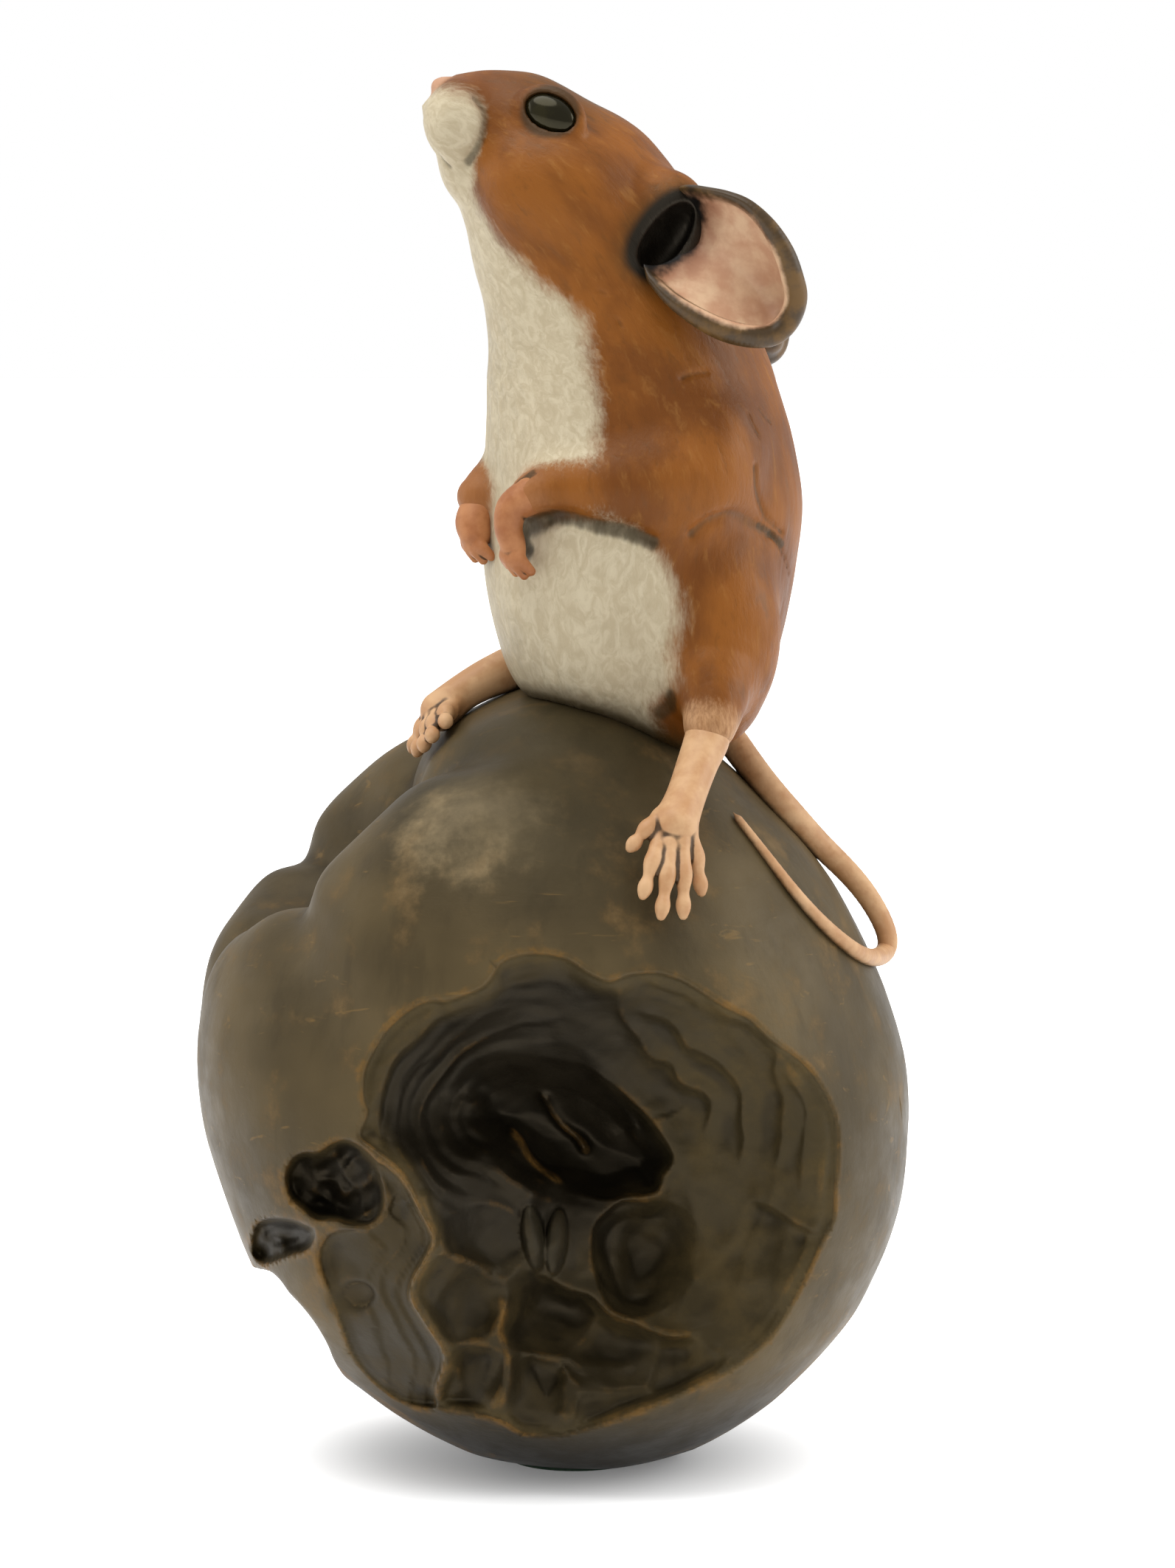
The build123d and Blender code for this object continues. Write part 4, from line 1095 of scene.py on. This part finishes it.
def makeEar(name, plan):
    rim = np.array([onPixel(c, r, y) for c, r, y in plan["rim"]])
    rim = smoothLine(rim, 6, closed=True)
    middle = rim.mean(0)
    along, across, facing = axesOf(earMould["along"], plan["facing"])
    flat = np.stack([(rim - middle) @ along, (rim - middle) @ across], 1)
    lifts = (rim - middle) @ facing
    corners = rim.min(0) - earMould["margin"], rim.max(0) + earMould["margin"]
    clay, inward = (Clay(*corners, earMould["step"]) for _ in range(2))
    where, (x, y, z) = clay.window(corners, 0)
    dx, dy, dz = x - middle[0], y - middle[1], z - middle[2]
    s, t, n = (dx * a[0] + dy * a[1] + dz * a[2] for a in (along, across, facing))
    best, away3 = (np.full(s.shape, 1e9, np.float32) for _ in range(2))
    height, weight = (np.zeros(s.shape, np.float32) for _ in range(2))
    inside = np.zeros(s.shape, bool)
    ringFlat, ringLift = np.vstack([flat, flat[:1]]), np.append(lifts, lifts[0])
    for a, b, la, lb in zip(ringFlat, ringFlat[1:], ringLift, ringLift[1:]):
        runX, runY = b - a
        share = np.clip(((s - a[0]) * runX + (t - a[1]) * runY) / (runX**2 + runY**2 + 1e-9), 0, 1)
        level = la + (lb - la) * share
        gap = (s - a[0] - runX * share) ** 2 + (t - a[1] - runY * share) ** 2
        best = np.minimum(best, gap)
        away3 = np.minimum(away3, gap + (n - level) ** 2)
        nearness = 1 / (gap + 0.3) ** 2
        height += (nearness * level).astype(np.float32)
        weight += nearness.astype(np.float32)
        crossed = (a[1] > t) != (b[1] > t)
        inside ^= crossed & (s < a[0] + runX * (t - a[1]) / (runY + 1e-9))
    best, away3 = np.sqrt(best), np.sqrt(away3)
    height = height / weight
    depthIn = np.where(inside, best, -best)
    sag = plan["cup"] * (1 - np.exp(-np.clip(depthIn, 0, 20) / earMould["cupReach"])) * 1.15
    half, gain = earMould["leaf"]
    leaf = np.abs(n - height + sag) - (half + gain * smoothStep(-depthIn, -3, 0))
    leaf = blendMax(leaf * 0.8, -depthIn, 0.5)
    rootX, rootY, rootZ = plan["root"]
    rootAway = np.sqrt((x - rootX) ** 2 + (y - rootY) ** 2 + (z - rootZ) ** 2)
    radius, gain = earMould["roll"]
    thins, thinReach = earMould["rootThins"]
    roll = away3 - (radius + gain * smoothStep(s, -6, 8)) + thins * (1 - smoothStep(rootAway, *thinReach))
    clay.field[where] = blendMin(leaf, roll, 0.7).astype(np.float32)
    if name == "earNear":
        clay.carve(earPit, 0.3)
    inward.field[where] = depthIn
    piece, points, slopes = fired(clay, name)
    paint(piece, "edgeIn", inward.sample(points))
    paint(piece, "inner", smoothStep(slopes @ facing, 0.05, 0.45))
    paint(piece, "fold", curving(clay, points, 0.8))
    paint(piece, "pitAway", fromPit(points))
    return piece


earPieces = {name: makeEar(name, plan) for name, plan in ears.items()}
print("ears modelled")


# Paws and feet: palms and soles with jointed digits
def makeDigits(name, members, step, margin, gripping):
    spots = np.array([knot[:3] for knots, _ in members for knot in knots])
    corners = spots.min(0) - margin, spots.max(0) + margin
    clay = Clay(*corners, step)
    for knots, blend in members:
        clay.join(limb(knots), blend)
    if gripping:
        trimToApple(clay, corners)
    piece, points, _ = fired(clay, name)
    paint(piece, "fold", curving(clay, points, 0.5))
    paint(piece, "skinAway", appleForm(*points.T) if gripping else np.full(len(points), 5.0))
    return piece


def toe(root, tip, start, end, arch=0.5):
    # a toe with two knuckles and a rounded pad
    root, tip = np.array(root), np.array(tip)
    out = (root + tip) / 2 - appleCentre
    out /= np.linalg.norm(out)
    places = [
        (0, start, 0), (0.3, start * 0.86, arch), (0.5, start * 0.98, arch), (0.72, end * 0.86, arch * 0.5),
        (0.88, end * 1.16, 0), (1, end * 0.72, -0.2),
    ]
    return [(*(root + (tip - root) * t + out * up), r) for t, r, up in places]


# soles and palms as knots, then where each digit starts and ends
footPlans = {
    "footNear": {
        "node": "hind_foot_left",
        "sole": [(0.094, -0.238, 0.042, 0.032), (0.090, -0.248, 0.020, 0.033), (0.076, -0.278, -0.012, 0.030),
                 (0.058, -0.326, -0.056, 0.029), (0.042, -0.364, -0.092, 0.033)],
        "roots": [(0.022, -0.360, -0.082), (0.020, -0.378, -0.108), (0.034, -0.386, -0.118),
                  (0.050, -0.380, -0.116), (0.060, -0.360, -0.100)],
        "tips": [(-0.022, -0.397, -0.120), (-0.004, -0.435, -0.184), (0.022, -0.439, -0.213),
                 (0.054, -0.422, -0.214), (0.081, -0.385, -0.185)],
        "radii": (1.02, 0.74),
    },
    "footFar": {
        "node": "hind_foot_right",
        "sole": [(-0.206, 0.080, 0.098, 0.033), (-0.240, 0.062, 0.084, 0.030), (-0.274, 0.046, 0.065, 0.028),
                 (-0.305, 0.026, 0.040, 0.031)],
        "roots": [(-0.312, 0.034, 0.034), (-0.316, 0.018, 0.030), (-0.312, 0.006, 0.030),
                  (-0.304, -0.002, 0.034), (-0.292, -0.006, 0.042)],
        "tips": [(-0.349, 0.033, -0.016), (-0.341, -0.007, -0.018), (-0.330, -0.039, -0.008),
                 (-0.317, -0.059, 0.008), (-0.296, -0.059, 0.030)],
        "radii": (1.05, 0.78),
    },
}
feet = {}
for name, plan in footPlans.items():
    sole = knotsAtSeat(plan["sole"])
    members = [(sole, 0.8)]
    for root, tip in zip(plan["roots"], plan["tips"]):
        members.append((toe(atSeat(*root), atSeat(*tip), *plan["radii"]), 0.45))
        members.append(([(*sole[-2][:3], 0.8), (*atSeat(*root), 1.0)], 0.6))
    feet[name] = makeDigits(name, members, step=0.2, margin=4, gripping=True)

finger = {"radii": (0.95, 0.82, 0.55), "bend": (-0.5, -0.3, 0.2)}
pawPlans = {
    "pawNear": {
        "node": "forepaw_left",
        "palm": [(-0.168, -0.197, 0.374, 0.028), (-0.193, -0.200, 0.356, 0.024),
                 (-0.199, -0.200, 0.328, 0.021), (-0.193, -0.200, 0.304, 0.019)],
        "tips": [(-0.198, -0.186, 0.272), (-0.188, -0.196, 0.262), (-0.176, -0.205, 0.258),
                 (-0.166, -0.211, 0.264)],
    },
    "pawFar": {
        "node": "forepaw_right",
        "palm": [(-0.242, -0.060, 0.352, 0.029), (-0.252, -0.072, 0.330, 0.028),
                 (-0.250, -0.082, 0.312, 0.024)],
        "tips": [(-0.258, -0.064, 0.286), (-0.250, -0.078, 0.276), (-0.238, -0.092, 0.274),
                 (-0.226, -0.102, 0.280)],
    },
}
paws = {}
for name, plan in pawPlans.items():
    palm = knotsAtSeat(plan["palm"])
    members = [(palm, 0.8)]
    wrist = np.array(palm[-1][:3])
    for tip in plan["tips"]:
        end = atSeat(*tip)
        start = wrist + (end - wrist) * 0.25
        joints = start, (start + end) / 2 + np.array(finger["bend"]), end
        members.append(([(*joint, radius) for joint, radius in zip(joints, finger["radii"])], 0.35))
    paws[name] = makeDigits(name, members, step=0.18, margin=3, gripping=False)
print("feet and paws modelled")


# Tail: a tapered tube run along its line by geometry nodes
tail = {
    "sizes": {"Root radius": 1.9, "Tip radius": 0.45, "Ring spacing": 0.9, "Ring depth": 0.05},
    "rings": 420,
    "around": 28,
    # share of its radius that its middle stands off the apple, and how far past the aim that is searched
    "proud": 0.85,
    "search": 16,
    # the root leaves the rump this far off its line
    "rootShift": (-1.5, 0.8, 0.8),
    # column and row, from the rump to the tip
    "line": [
        (968, 965), (985, 992), (1004, 1020), (1039, 1066), (1074, 1104), (1111, 1145), (1147, 1178),
        (1176, 1212), (1198, 1250), (1206, 1278), (1198, 1296), (1178, 1300), (1150, 1283), (1110, 1247),
        (1073, 1204), (1040, 1160), (1012, 1124), (994, 1101),
    ],
}


def onApple(column, row, proud):
    # the point a set distance off the apple's skin on a pixel's line of sight, or the nearest to it
    line = pointsAlong(sightLine(column, row), tail["search"])
    away = appleForm(*line.T) - proud
    inside = np.nonzero(away < 0)[0]
    return line[inside[0]] if len(inside) else line[np.argmin(away)]


def wired(tree, kind, inputs=(), **values):
    # a node with its inputs linked to sockets or set to values
    node = tree.nodes.new(kind)
    for key, value in values.items():
        setattr(node, key, value)
    for label, source in dict(inputs).items():
        if hasattr(source, "node"):
            tree.links.new(source, node.inputs[label])
        else:
            node.inputs[label].default_value = source
    return node


def worked(tree, operation, a, b):
    return wired(tree, "ShaderNodeMath", {0: a, 1: b}, operation=operation).outputs[0]


def ranged(tree, value, low, high, toLow, toHigh, **values):
    inputs = {"Value": value, "From Min": low, "From Max": high, "To Min": toLow, "To Max": toHigh}
    return wired(tree, "ShaderNodeMapRange", inputs, **values).outputs["Result"]


def tailTree(material):
    tree = bpy.data.node_groups.new("tailTube", "GeometryNodeTree")
    face = tree.interface
    face.new_socket("Line", in_out="INPUT", socket_type="NodeSocketGeometry")
    for label in tail["sizes"]:
        face.new_socket(label, in_out="INPUT", socket_type="NodeSocketFloat")
    face.new_socket("Tube", in_out="OUTPUT", socket_type="NodeSocketGeometry")
    given = wired(tree, "NodeGroupInput").outputs
    line = wired(tree, "GeometryNodeResampleCurve", {"Curve": given["Line"], "Count": tail["rings"]})
    place = wired(tree, "GeometryNodeSplineParameter").outputs
    taper = ranged(tree, place["Factor"], 0.0, 1.0, given["Root radius"], given["Tip radius"])
    # the last hundredth and a half closes to a rounded tip
    toTip = ranged(tree, place["Factor"], 0.985, 1.0, 1.0, 0.12, interpolation_type="SMOOTHSTEP")
    girth = worked(tree, "MULTIPLY", taper, toTip)
    # shallow rings, as on a mouse's tail
    turns = worked(tree, "DIVIDE", place["Length"], given["Ring spacing"])
    swell = worked(tree, "MULTIPLY", worked(tree, "PINGPONG", turns, 0.5), given["Ring depth"])
    radius = worked(tree, "SUBTRACT", girth, swell)
    sized = wired(tree, "GeometryNodeSetCurveRadius", {"Curve": line.outputs["Curve"], "Radius": radius})
    ring = wired(tree, "GeometryNodeCurvePrimitiveCircle", {"Resolution": tail["around"], "Radius": 1.0})
    curves = {"Curve": sized.outputs["Curve"], "Profile Curve": ring.outputs["Curve"], "Fill Caps": True}
    tube = wired(tree, "GeometryNodeCurveToMesh", curves)
    if "Scale" in tube.inputs:
        tree.links.new(radius, tube.inputs["Scale"])
    shape = tube.outputs["Mesh"]
    for kind in ("GeometryNodeSetShadeSmooth", "GeometryNodeRealizeInstances", "GeometryNodeSetMaterial"):
        last = wired(tree, kind, {"Geometry": shape})
        shape = last.outputs["Geometry"]
    last.inputs["Material"].default_value = material
    wired(tree, "NodeGroupOutput", {"Tube": shape})
    return tree


def makeTail(material):
    count = len(tail["line"])
    thick, thin = tail["sizes"]["Root radius"], tail["sizes"]["Tip radius"]
    points = []
    for index, (column, row) in enumerate(tail["line"]):
        radius = thick + (thin - thick) * (index / (count - 1))
        points.append(onApple(column, row, radius * tail["proud"]))
    points[0] = points[1] + (points[1] - points[2]) * 0.9 + np.array(tail["rootShift"])
    curve = bpy.data.curves.new("tailLine", "CURVE")
    curve.dimensions = "3D"
    spline = curve.splines.new("NURBS")
    spline.points.add(count - 1)
    for point, (x, y, z) in zip(spline.points, points):
        point.co = (x * metres, y * metres, z * metres, 1)
    spline.order_u = 4
    spline.use_endpoint_u = True
    curve.resolution_u = 24
    holder = placed("tailLine", curve)
    tree = tailTree(material)
    modifier = holder.modifiers.new("tube", "NODES")
    modifier.node_group = tree
    for item in tree.interface.items_tree:
        if item.item_type == "SOCKET" and item.name in tail["sizes"]:
            modifier[item.identifier] = tail["sizes"][item.name] * metres
    evaluated = holder.evaluated_get(bpy.context.evaluated_depsgraph_get())
    mesh = bpy.data.meshes.new_from_object(evaluated)
    mesh.name = "tailRun"
    bpy.data.objects.remove(holder)
    piece = placed("tailRun", mesh)
    places = np.zeros(len(mesh.vertices) * 3, np.float32)
    mesh.vertices.foreach_get("co", places)
    places = places.reshape(-1, 3) / metres
    paint(piece, "fold", np.zeros(len(places)))
    paint(piece, "skinAway", appleForm(*places.T))
    print("tail has", len(mesh.polygons), "faces")
    return piece


# Finishes
class Finish:
    def __init__(self, name):
        self.material = bpy.data.materials.new(name)
        self.material.use_nodes = True
        self.tree = self.material.node_tree
        self.shader = self.tree.nodes["Principled BSDF"]
        self.where = wired(self.tree, "ShaderNodeTexCoord").outputs["Object"]

    def read(self, name, output="Fac"):
        return wired(self.tree, "ShaderNodeAttribute", attribute_name=name).outputs[output]

    def times(self, a, b):
        return worked(self.tree, "MULTIPLY", a, b)

    def frayed(self, value, noise, amount):
        # a value, or a painted layer by its name, whose edges wander with a noise
        value = self.read(value) if isinstance(value, str) else value
        return worked(self.tree, "ADD", value, self.times(worked(self.tree, "SUBTRACT", noise, 0.5), amount))

    def span(self, value, low, high, toLow=0.0, toHigh=1.0):
        return ranged(self.tree, value, low, high, toLow, toHigh, interpolation_type="SMOOTHSTEP")

    def noise(self, scale, detail=4.0, rough=0.55, where=None, stretch=None, twist=0.0):
        source = self.where if where is None else where
        if stretch:
            mapping = wired(self.tree, "ShaderNodeMapping", {"Vector": source, "Scale": stretch})
            source = mapping.outputs["Vector"]
        inputs = {"Vector": source, "Scale": scale, "Detail": detail, "Roughness": rough, "Distortion": twist}
        return wired(self.tree, "ShaderNodeTexNoise", inputs).outputs["Fac"]

    def mix(self, share, a, b):
        a, b = (value if hasattr(value, "node") else (*value, 1.0) for value in (a, b))
        return wired(self.tree, "ShaderNodeMix", {0: share, 6: a, 7: b}, data_type="RGBA").outputs[2]

    def laid(self, colour, *coats):
        # coats over a colour in turn, each a share and a tone
        for share, coat in coats:
            colour = self.mix(share, colour, coat)
        return colour

    def bumps(self, *layers):
        # layers of height, distance and strength, each laid over the one before
        under = {}
        for height, distance, strength in layers:
            inputs = {"Height": height, "Distance": distance, "Strength": strength, **under}
            under = {"Normal": wired(self.tree, "ShaderNodeBump", inputs).outputs["Normal"]}
        return under["Normal"]

    def done(self, colour, roughness, normal, **fixed):
        for label, source in (("Base Color", colour), ("Roughness", roughness), ("Normal", normal)):
            self.tree.links.new(source, self.shader.inputs[label])
        for label, number in fixed.items():
            self.shader.inputs[label.replace("_", " ")].default_value = number
        return self.material


def tone(red, green, blue):
    # a colour as a paint chart writes it, 0 to 255, in linear light
    shares = (v / 255 for v in (red, green, blue))
    return tuple(((v + 0.055) / 1.055) ** 2.4 if v > 0.04 else v / 12.92 for v in shares)


def patinaFinish():
    f = Finish("darkPatina")
    broad, cloud, grain = f.noise(38, 3), f.noise(170, 5, 0.62), f.noise(900, 4, 0.6)
    streak = f.noise(240, 4, 0.6, stretch=(1.0, 1.0, 0.22))
    scratch = f.noise(520, 3, 0.7, stretch=(0.12, 0.5, 1.0), twist=0.6)
    # painted highlight on the upper lobe, broken up by streaks
    spot = f.frayed("paintedHighlight", cloud, 1.8)
    highlightShare = f.times(f.span(spot, 0.1, 1.4), f.span(streak, 0.3, 0.6, 0.4, 0.9))
    hollow = f.read("hollow")
    floorTone = f.mix(f.span(cloud, 0.40, 0.68), tone(58, 49, 29), tone(78, 65, 38))
    patchy = f.times(f.span(cloud, 0.40, 0.60, 0.1, 1.0), f.span(grain, 0.35, 0.6, 0.35, 1.0))
    rubbed = f.times(f.span(f.frayed("edge", grain, 0.4), 0.3, 1.1, 0, 0.6), patchy)
    rubbed = f.times(rubbed, f.span(hollow, 0.2, 1.0, 1.0, 0.45))
    gold = f.times(f.span(f.read("gold"), 0.2, 0.9, 0, 0.9), patchy)
    colour = f.laid(
        f.mix(f.span(broad, 0.35, 0.66), tone(66, 56, 37), tone(94, 80, 54)),
        (f.span(cloud, 0.52, 0.76, 0, 0.45), tone(116, 86, 44)),
        (f.span(streak, 0.48, 0.72, 0, 0.4), tone(48, 41, 27)),
        (f.span(scratch, 0.62, 0.72, 0, 0.35), tone(134, 104, 58)),
        # the painted highlight's light tone
        (highlightShare, tone(160, 141, 107)),
        # painted shade under the mouse, with some dark wash
        (f.span(f.frayed("seatAway", cloud, 12.0), 24.0, 9.0, 0, 0.6), tone(40, 36, 22)),
        # painted shade at the apple's foot, near the floor
        (f.times(f.read("under"), 0.95), tone(12, 11, 6)),
        (f.times(hollow, 0.9), floorTone),
        # painted shade in the hollow
        (f.times(f.read("deep"), 0.97), tone(14, 11, 6)),
        (worked(f.tree, "MAXIMUM", rubbed, gold), tone(124, 90, 42)),
        (f.span(f.read("seed"), 0.1, 0.5, 0, 0.9), tone(36, 32, 22)),
        # creases darkened: partly the patina's own dark in hollows, partly painted shade
        (f.times(f.span(f.read("fold"), -0.15, -1.0), 0.6), tone(12, 10, 6)),
    )
    normal = f.bumps(
        (streak, 0.00010, 0.5), (scratch, 0.00006, 0.5), (grain, 0.00004, 0.6), (cloud, 0.00022, 0.35),
    )
    rough = f.span(cloud, 0.3, 0.7, 0.42, 0.56)
    return f.done(colour, rough, normal, Specular_IOR_Level=0.24, Specular_Tint=(1.0, 0.82, 0.56, 1.0))


def furFinish():
    f = Finish("furPaint")
    flow = f.read("flow", "Vector")
    hair = f.noise(1.0, 5, 0.6, where=flow, stretch=(0.22, 0.75, 0.75), twist=0.4)
    fine = f.noise(1.0, 4, 0.65, where=flow, stretch=(0.8, 2.6, 2.6))
    blotch = f.noise(1.0, 4, 0.55, where=flow, stretch=(0.07, 0.13, 0.13))
    grain = f.noise(1500, 3, 0.6)
    stroke = f.noise(1.0, 5, 0.6, where=flow, stretch=(0.42, 0.7, 0.7), twist=1.2)
    fur = f.laid(
        f.mix(f.span(blotch, 0.36, 0.64), tone(108, 57, 7), tone(140, 81, 22)),
        (f.span(hair, 0.54, 0.78, 0, 0.3), tone(180, 128, 66)),
        (f.span(hair, 0.46, 0.28, 0, 0.35), tone(90, 52, 12)),
    )
    white = f.mix(f.span(stroke, 0.34, 0.68), tone(190, 175, 145), tone(209, 196, 167))
    white = f.mix(f.span(fine, 0.44, 0.30, 0, 0.22), white, tone(160, 146, 116))
    edge = f.frayed(f.frayed("white", fine, 1.8), hair, 2.6)
    whiteness = f.times(f.span(edge, -1.6, 1.6), f.span(f.frayed("arm", fine, 0.8), 0.1, 0.9))
    # the tone of the painted shade under the arm and in the creases
    dark = tone(46, 36, 16)
    colour = f.laid(
        fur,
        (whiteness, white),
        (f.span(f.read("noseAway"), 2.2, 1.1), tone(196, 150, 120)),
        (f.span(f.frayed("ankleAway", fine, 1.6), 4.0, 2.2), tone(206, 160, 116)),
        (f.span(f.frayed("wristAway", fine, 1.6), 4.6, 1.6), tone(158, 102, 58)),
        # painted shade where the body sits on the apple
        (f.span(f.frayed("seatNear", hair, 2.4), 4.5, 0.6, 0, 0.8), tone(60, 47, 24)),
        # painted shade under the arm, round the paws and under the belly
        (f.span(f.frayed("paintedShade", hair, 0.9), 0.15, 1.15, 0, 0.85), dark),
        # painted shade in the creases
        (f.span(f.frayed("fold", fine, 0.3), -0.25, -1.3, 0, 0.7), dark),
        (f.span(f.read("eyeAway"), 3.9, 3.0, 0, 0.8), tone(44, 32, 14)),
        # painted shade round the ear's opening and the far ear's root, near black inside the opening
        (f.span(f.frayed("pitAway", hair, 2.0), 3.6, 0.9, 0, 0.6), tone(74, 50, 18)),
        (f.span(f.read("pitAway"), 2.0, 0.8), tone(12, 9, 6)),
    )
    normal = f.bumps((hair, 0.00022, 0.5), (fine, 0.00010, 0.5), (grain, 0.00003, 0.4))
    rough = f.span(hair, 0.3, 0.7, 0.42, 0.56)
    return f.done(colour, rough, normal, Specular_IOR_Level=0.35, Specular_Tint=(1.0, 0.86, 0.66, 1.0))


def earFinish():
    f = Finish("earPaint")
    cloud, fine = f.noise(330, 4), f.noise(1300, 4)
    inner = f.mix(f.span(cloud, 0.35, 0.7), tone(206, 160, 128), tone(228, 194, 158))
    # painted shade deepening towards the ear's opening
    inner = f.mix(f.span(f.frayed("pitAway", cloud, 2.0), 4.2, 0.8, 0, 0.7), inner, tone(140, 88, 60))
    shown = f.times(f.read("inner"), f.span(f.frayed("edgeIn", cloud, 1.4), 0.2, 1.0))
    colour = f.laid(
        f.mix(f.span(cloud, 0.4, 0.65), tone(66, 48, 22), tone(104, 76, 36)),
        (shown, inner),
        # painted shade in the ear's folds
        (f.span(f.read("fold"), -0.1, -0.8, 0, 0.5), tone(60, 40, 20)),
        # painted shade: the ear's opening painted near black
        (f.span(f.frayed("pitAway", cloud, 3.0), 1.7, 0.2), tone(12, 9, 6)),
    )
    normal = f.bumps((cloud, 0.0002, 0.4), (fine, 0.00005, 0.5))
    return f.done(colour, f.span(cloud, 0.3, 0.7, 0.4, 0.54), normal, Specular_IOR_Level=0.35)


def skinFinish(name, light, deep):
    f = Finish(name)
    cloud, fine = f.noise(300, 4), f.noise(1400, 4, 0.6)
    colour = f.laid(
        f.mix(f.span(cloud, 0.35, 0.68), deep, light),
        # painted shade in the creases between toes and fingers
        (f.span(f.frayed("fold", fine, 0.25), 0.02, -0.5, 0, 0.92), tone(56, 38, 18)),
        # painted shade where the feet and tail meet the apple
        (f.span(f.frayed("skinAway", fine, 0.5), 0.8, 0.0, 0, 0.85), tone(50, 36, 18)),
    )
    normal = f.bumps((fine, 0.00008, 0.6), (cloud, 0.0002, 0.3))
    return f.done(colour, f.span(cloud, 0.3, 0.7, 0.42, 0.56), normal, Specular_IOR_Level=0.35)


def plainFinish(name, a, b, scale, rough, bumpHeight, **fixed):
    f = Finish(name)
    cloud = f.noise(scale, 4)
    colour = f.mix(f.span(cloud, 0.35, 0.65), a, b)
    normal = f.bumps((cloud, bumpHeight, 0.4))
    return f.done(colour, f.span(cloud, 0.3, 0.7, rough * 0.85, rough), normal, **fixed)


patina = patinaFinish()
furPaint = furFinish()
earPaint = earFinish()
footPaint = skinFinish("footPaint", tone(214, 172, 128), tone(192, 144, 100))
pawPaint = skinFinish("pawPaint", tone(188, 128, 82), tone(160, 98, 54))
warmSheen = {"Specular_IOR_Level": 0.3, "Specular_Tint": (1.0, 0.9, 0.6, 1.0)}
eyeGloss = plainFinish("eyeGloss", tone(16, 14, 6), tone(30, 27, 12), 420, 0.16, 0.00002, **warmSheen)
brass = plainFinish("fixingBrass", tone(176, 142, 82), tone(150, 118, 64), 500, 0.32, 0.00002, Metallic=1.0)
felt = plainFinish("greenFelt", tone(40, 62, 46), tone(54, 78, 58), 1800, 0.95, 0.0002)
tailPiece = makeTail(footPaint)
print("finishes mixed")


def dress(piece, material, slotName, *nodes):
    piece.data.materials.clear()
    piece.data.materials.append(material)
    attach(piece, "root")
    if nodes:
        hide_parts(*nodes)


dress(appleSkin, patina, "dark_patina", "apple_shell", "hollow_lining", "seed_core", "pip_left", "pip_right")
dress(mouseBody, furPaint, "fur_paint", "mouse_body")
for name, plan in ears.items():
    dress(earPieces[name], earPaint, "skin_paint", plan["node"])
for name, plan in footPlans.items():
    dress(feet[name], footPaint, "skin_paint", plan["node"])
for name, plan in pawPlans.items():
    dress(paws[name], pawPaint, "skin_paint", plan["node"])
# the dowel under the tail's loop is hidden inside the tail and the apple
dress(tailPiece, footPaint, "skin_paint", "tail", "tail_pin")
# these show the CAD's own shapes
kept = {
    "eye_left": eyeGloss, "eye_right": eyeGloss, "fixing_stud": brass, "fixing_washer": brass,
    "fixing_nut": brass, "base_pad": felt,
}
for node, material in kept.items():
    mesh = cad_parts[node].data
    mesh.materials.clear()
    mesh.materials.append(material)

# Floor and light
floorMesh = bpy.data.meshes.new("floor")
floorMesh.from_pydata([(-4, -4, 0), (4, -4, 0), (4, 6, 0), (-4, 6, 0)], [], [(0, 1, 2, 3)])
floor = placed("floor", floorMesh)
paper = bpy.data.materials.new("paleFloor")
paper.use_nodes = True
tree = paper.node_tree
matte = tree.nodes["Principled BSDF"]
matte.inputs["Base Color"].default_value = (0.86, 0.86, 0.86, 1)
matte.inputs["Roughness"].default_value = 0.9
rays = wired(tree, "ShaderNodeLightPath").outputs
anyRay = worked(tree, "MAXIMUM", rays["Is Camera Ray"], rays["Is Glossy Ray"])
anyRay = worked(tree, "MAXIMUM", anyRay, rays["Is Transmission Ray"])
# the glow is full away from the object and lower close to it, where its shadow falls
place = wired(tree, "ShaderNodeTexCoord").outputs["Object"]
spread = wired(tree, "ShaderNodeVectorMath", {0: place}, operation="LENGTH").outputs["Value"]
fade = ranged(tree, spread, 0.012, 0.048, 0.15, 1.0, interpolation_type="SMOOTHSTEP")
glow = wired(tree, "ShaderNodeEmission", {"Strength": worked(tree, "MULTIPLY", anyRay, fade)})
both = wired(tree, "ShaderNodeAddShader", {0: matte.outputs[0], 1: glow.outputs[0]})
tree.links.new(both.outputs[0], tree.nodes["Material Output"].inputs["Surface"])
floorMesh.materials.append(paper)

world = bpy.data.worlds.new("studio")
bpy.context.scene.world = world
world.use_nodes = True
tree = world.node_tree
back = tree.nodes["Background"]
back.inputs["Color"].default_value = (1, 1, 1, 1)
rays = wired(tree, "ShaderNodeLightPath").outputs
direct = worked(tree, "MAXIMUM", rays["Is Camera Ray"], rays["Is Transmission Ray"])
tree.links.new(ranged(tree, direct, 0.0, 1.0, 0.66, 1.0), back.inputs["Strength"])

# name, place, size across and power
lamps = [
    ("topLamp", (-0.15, -0.14, 0.80), 0.7, 3.8),
    ("rightLamp", (0.70, 0.05, 0.35), 0.5, 2.2),
    ("leftLamp", (-0.70, 0.10, 0.35), 0.5, 0.9),
]
for name, place, across, power in lamps:
    data = bpy.data.lights.new(name, "AREA")
    data.shape = "DISK"
    data.size = across
    data.energy = power
    lamp = placed(name, data)
    lamp.location = place
    lamp.rotation_euler = (Vector((0, 0, 0.08)) - Vector(place)).to_track_quat("-Z", "Y").to_euler()
print("stage lit")
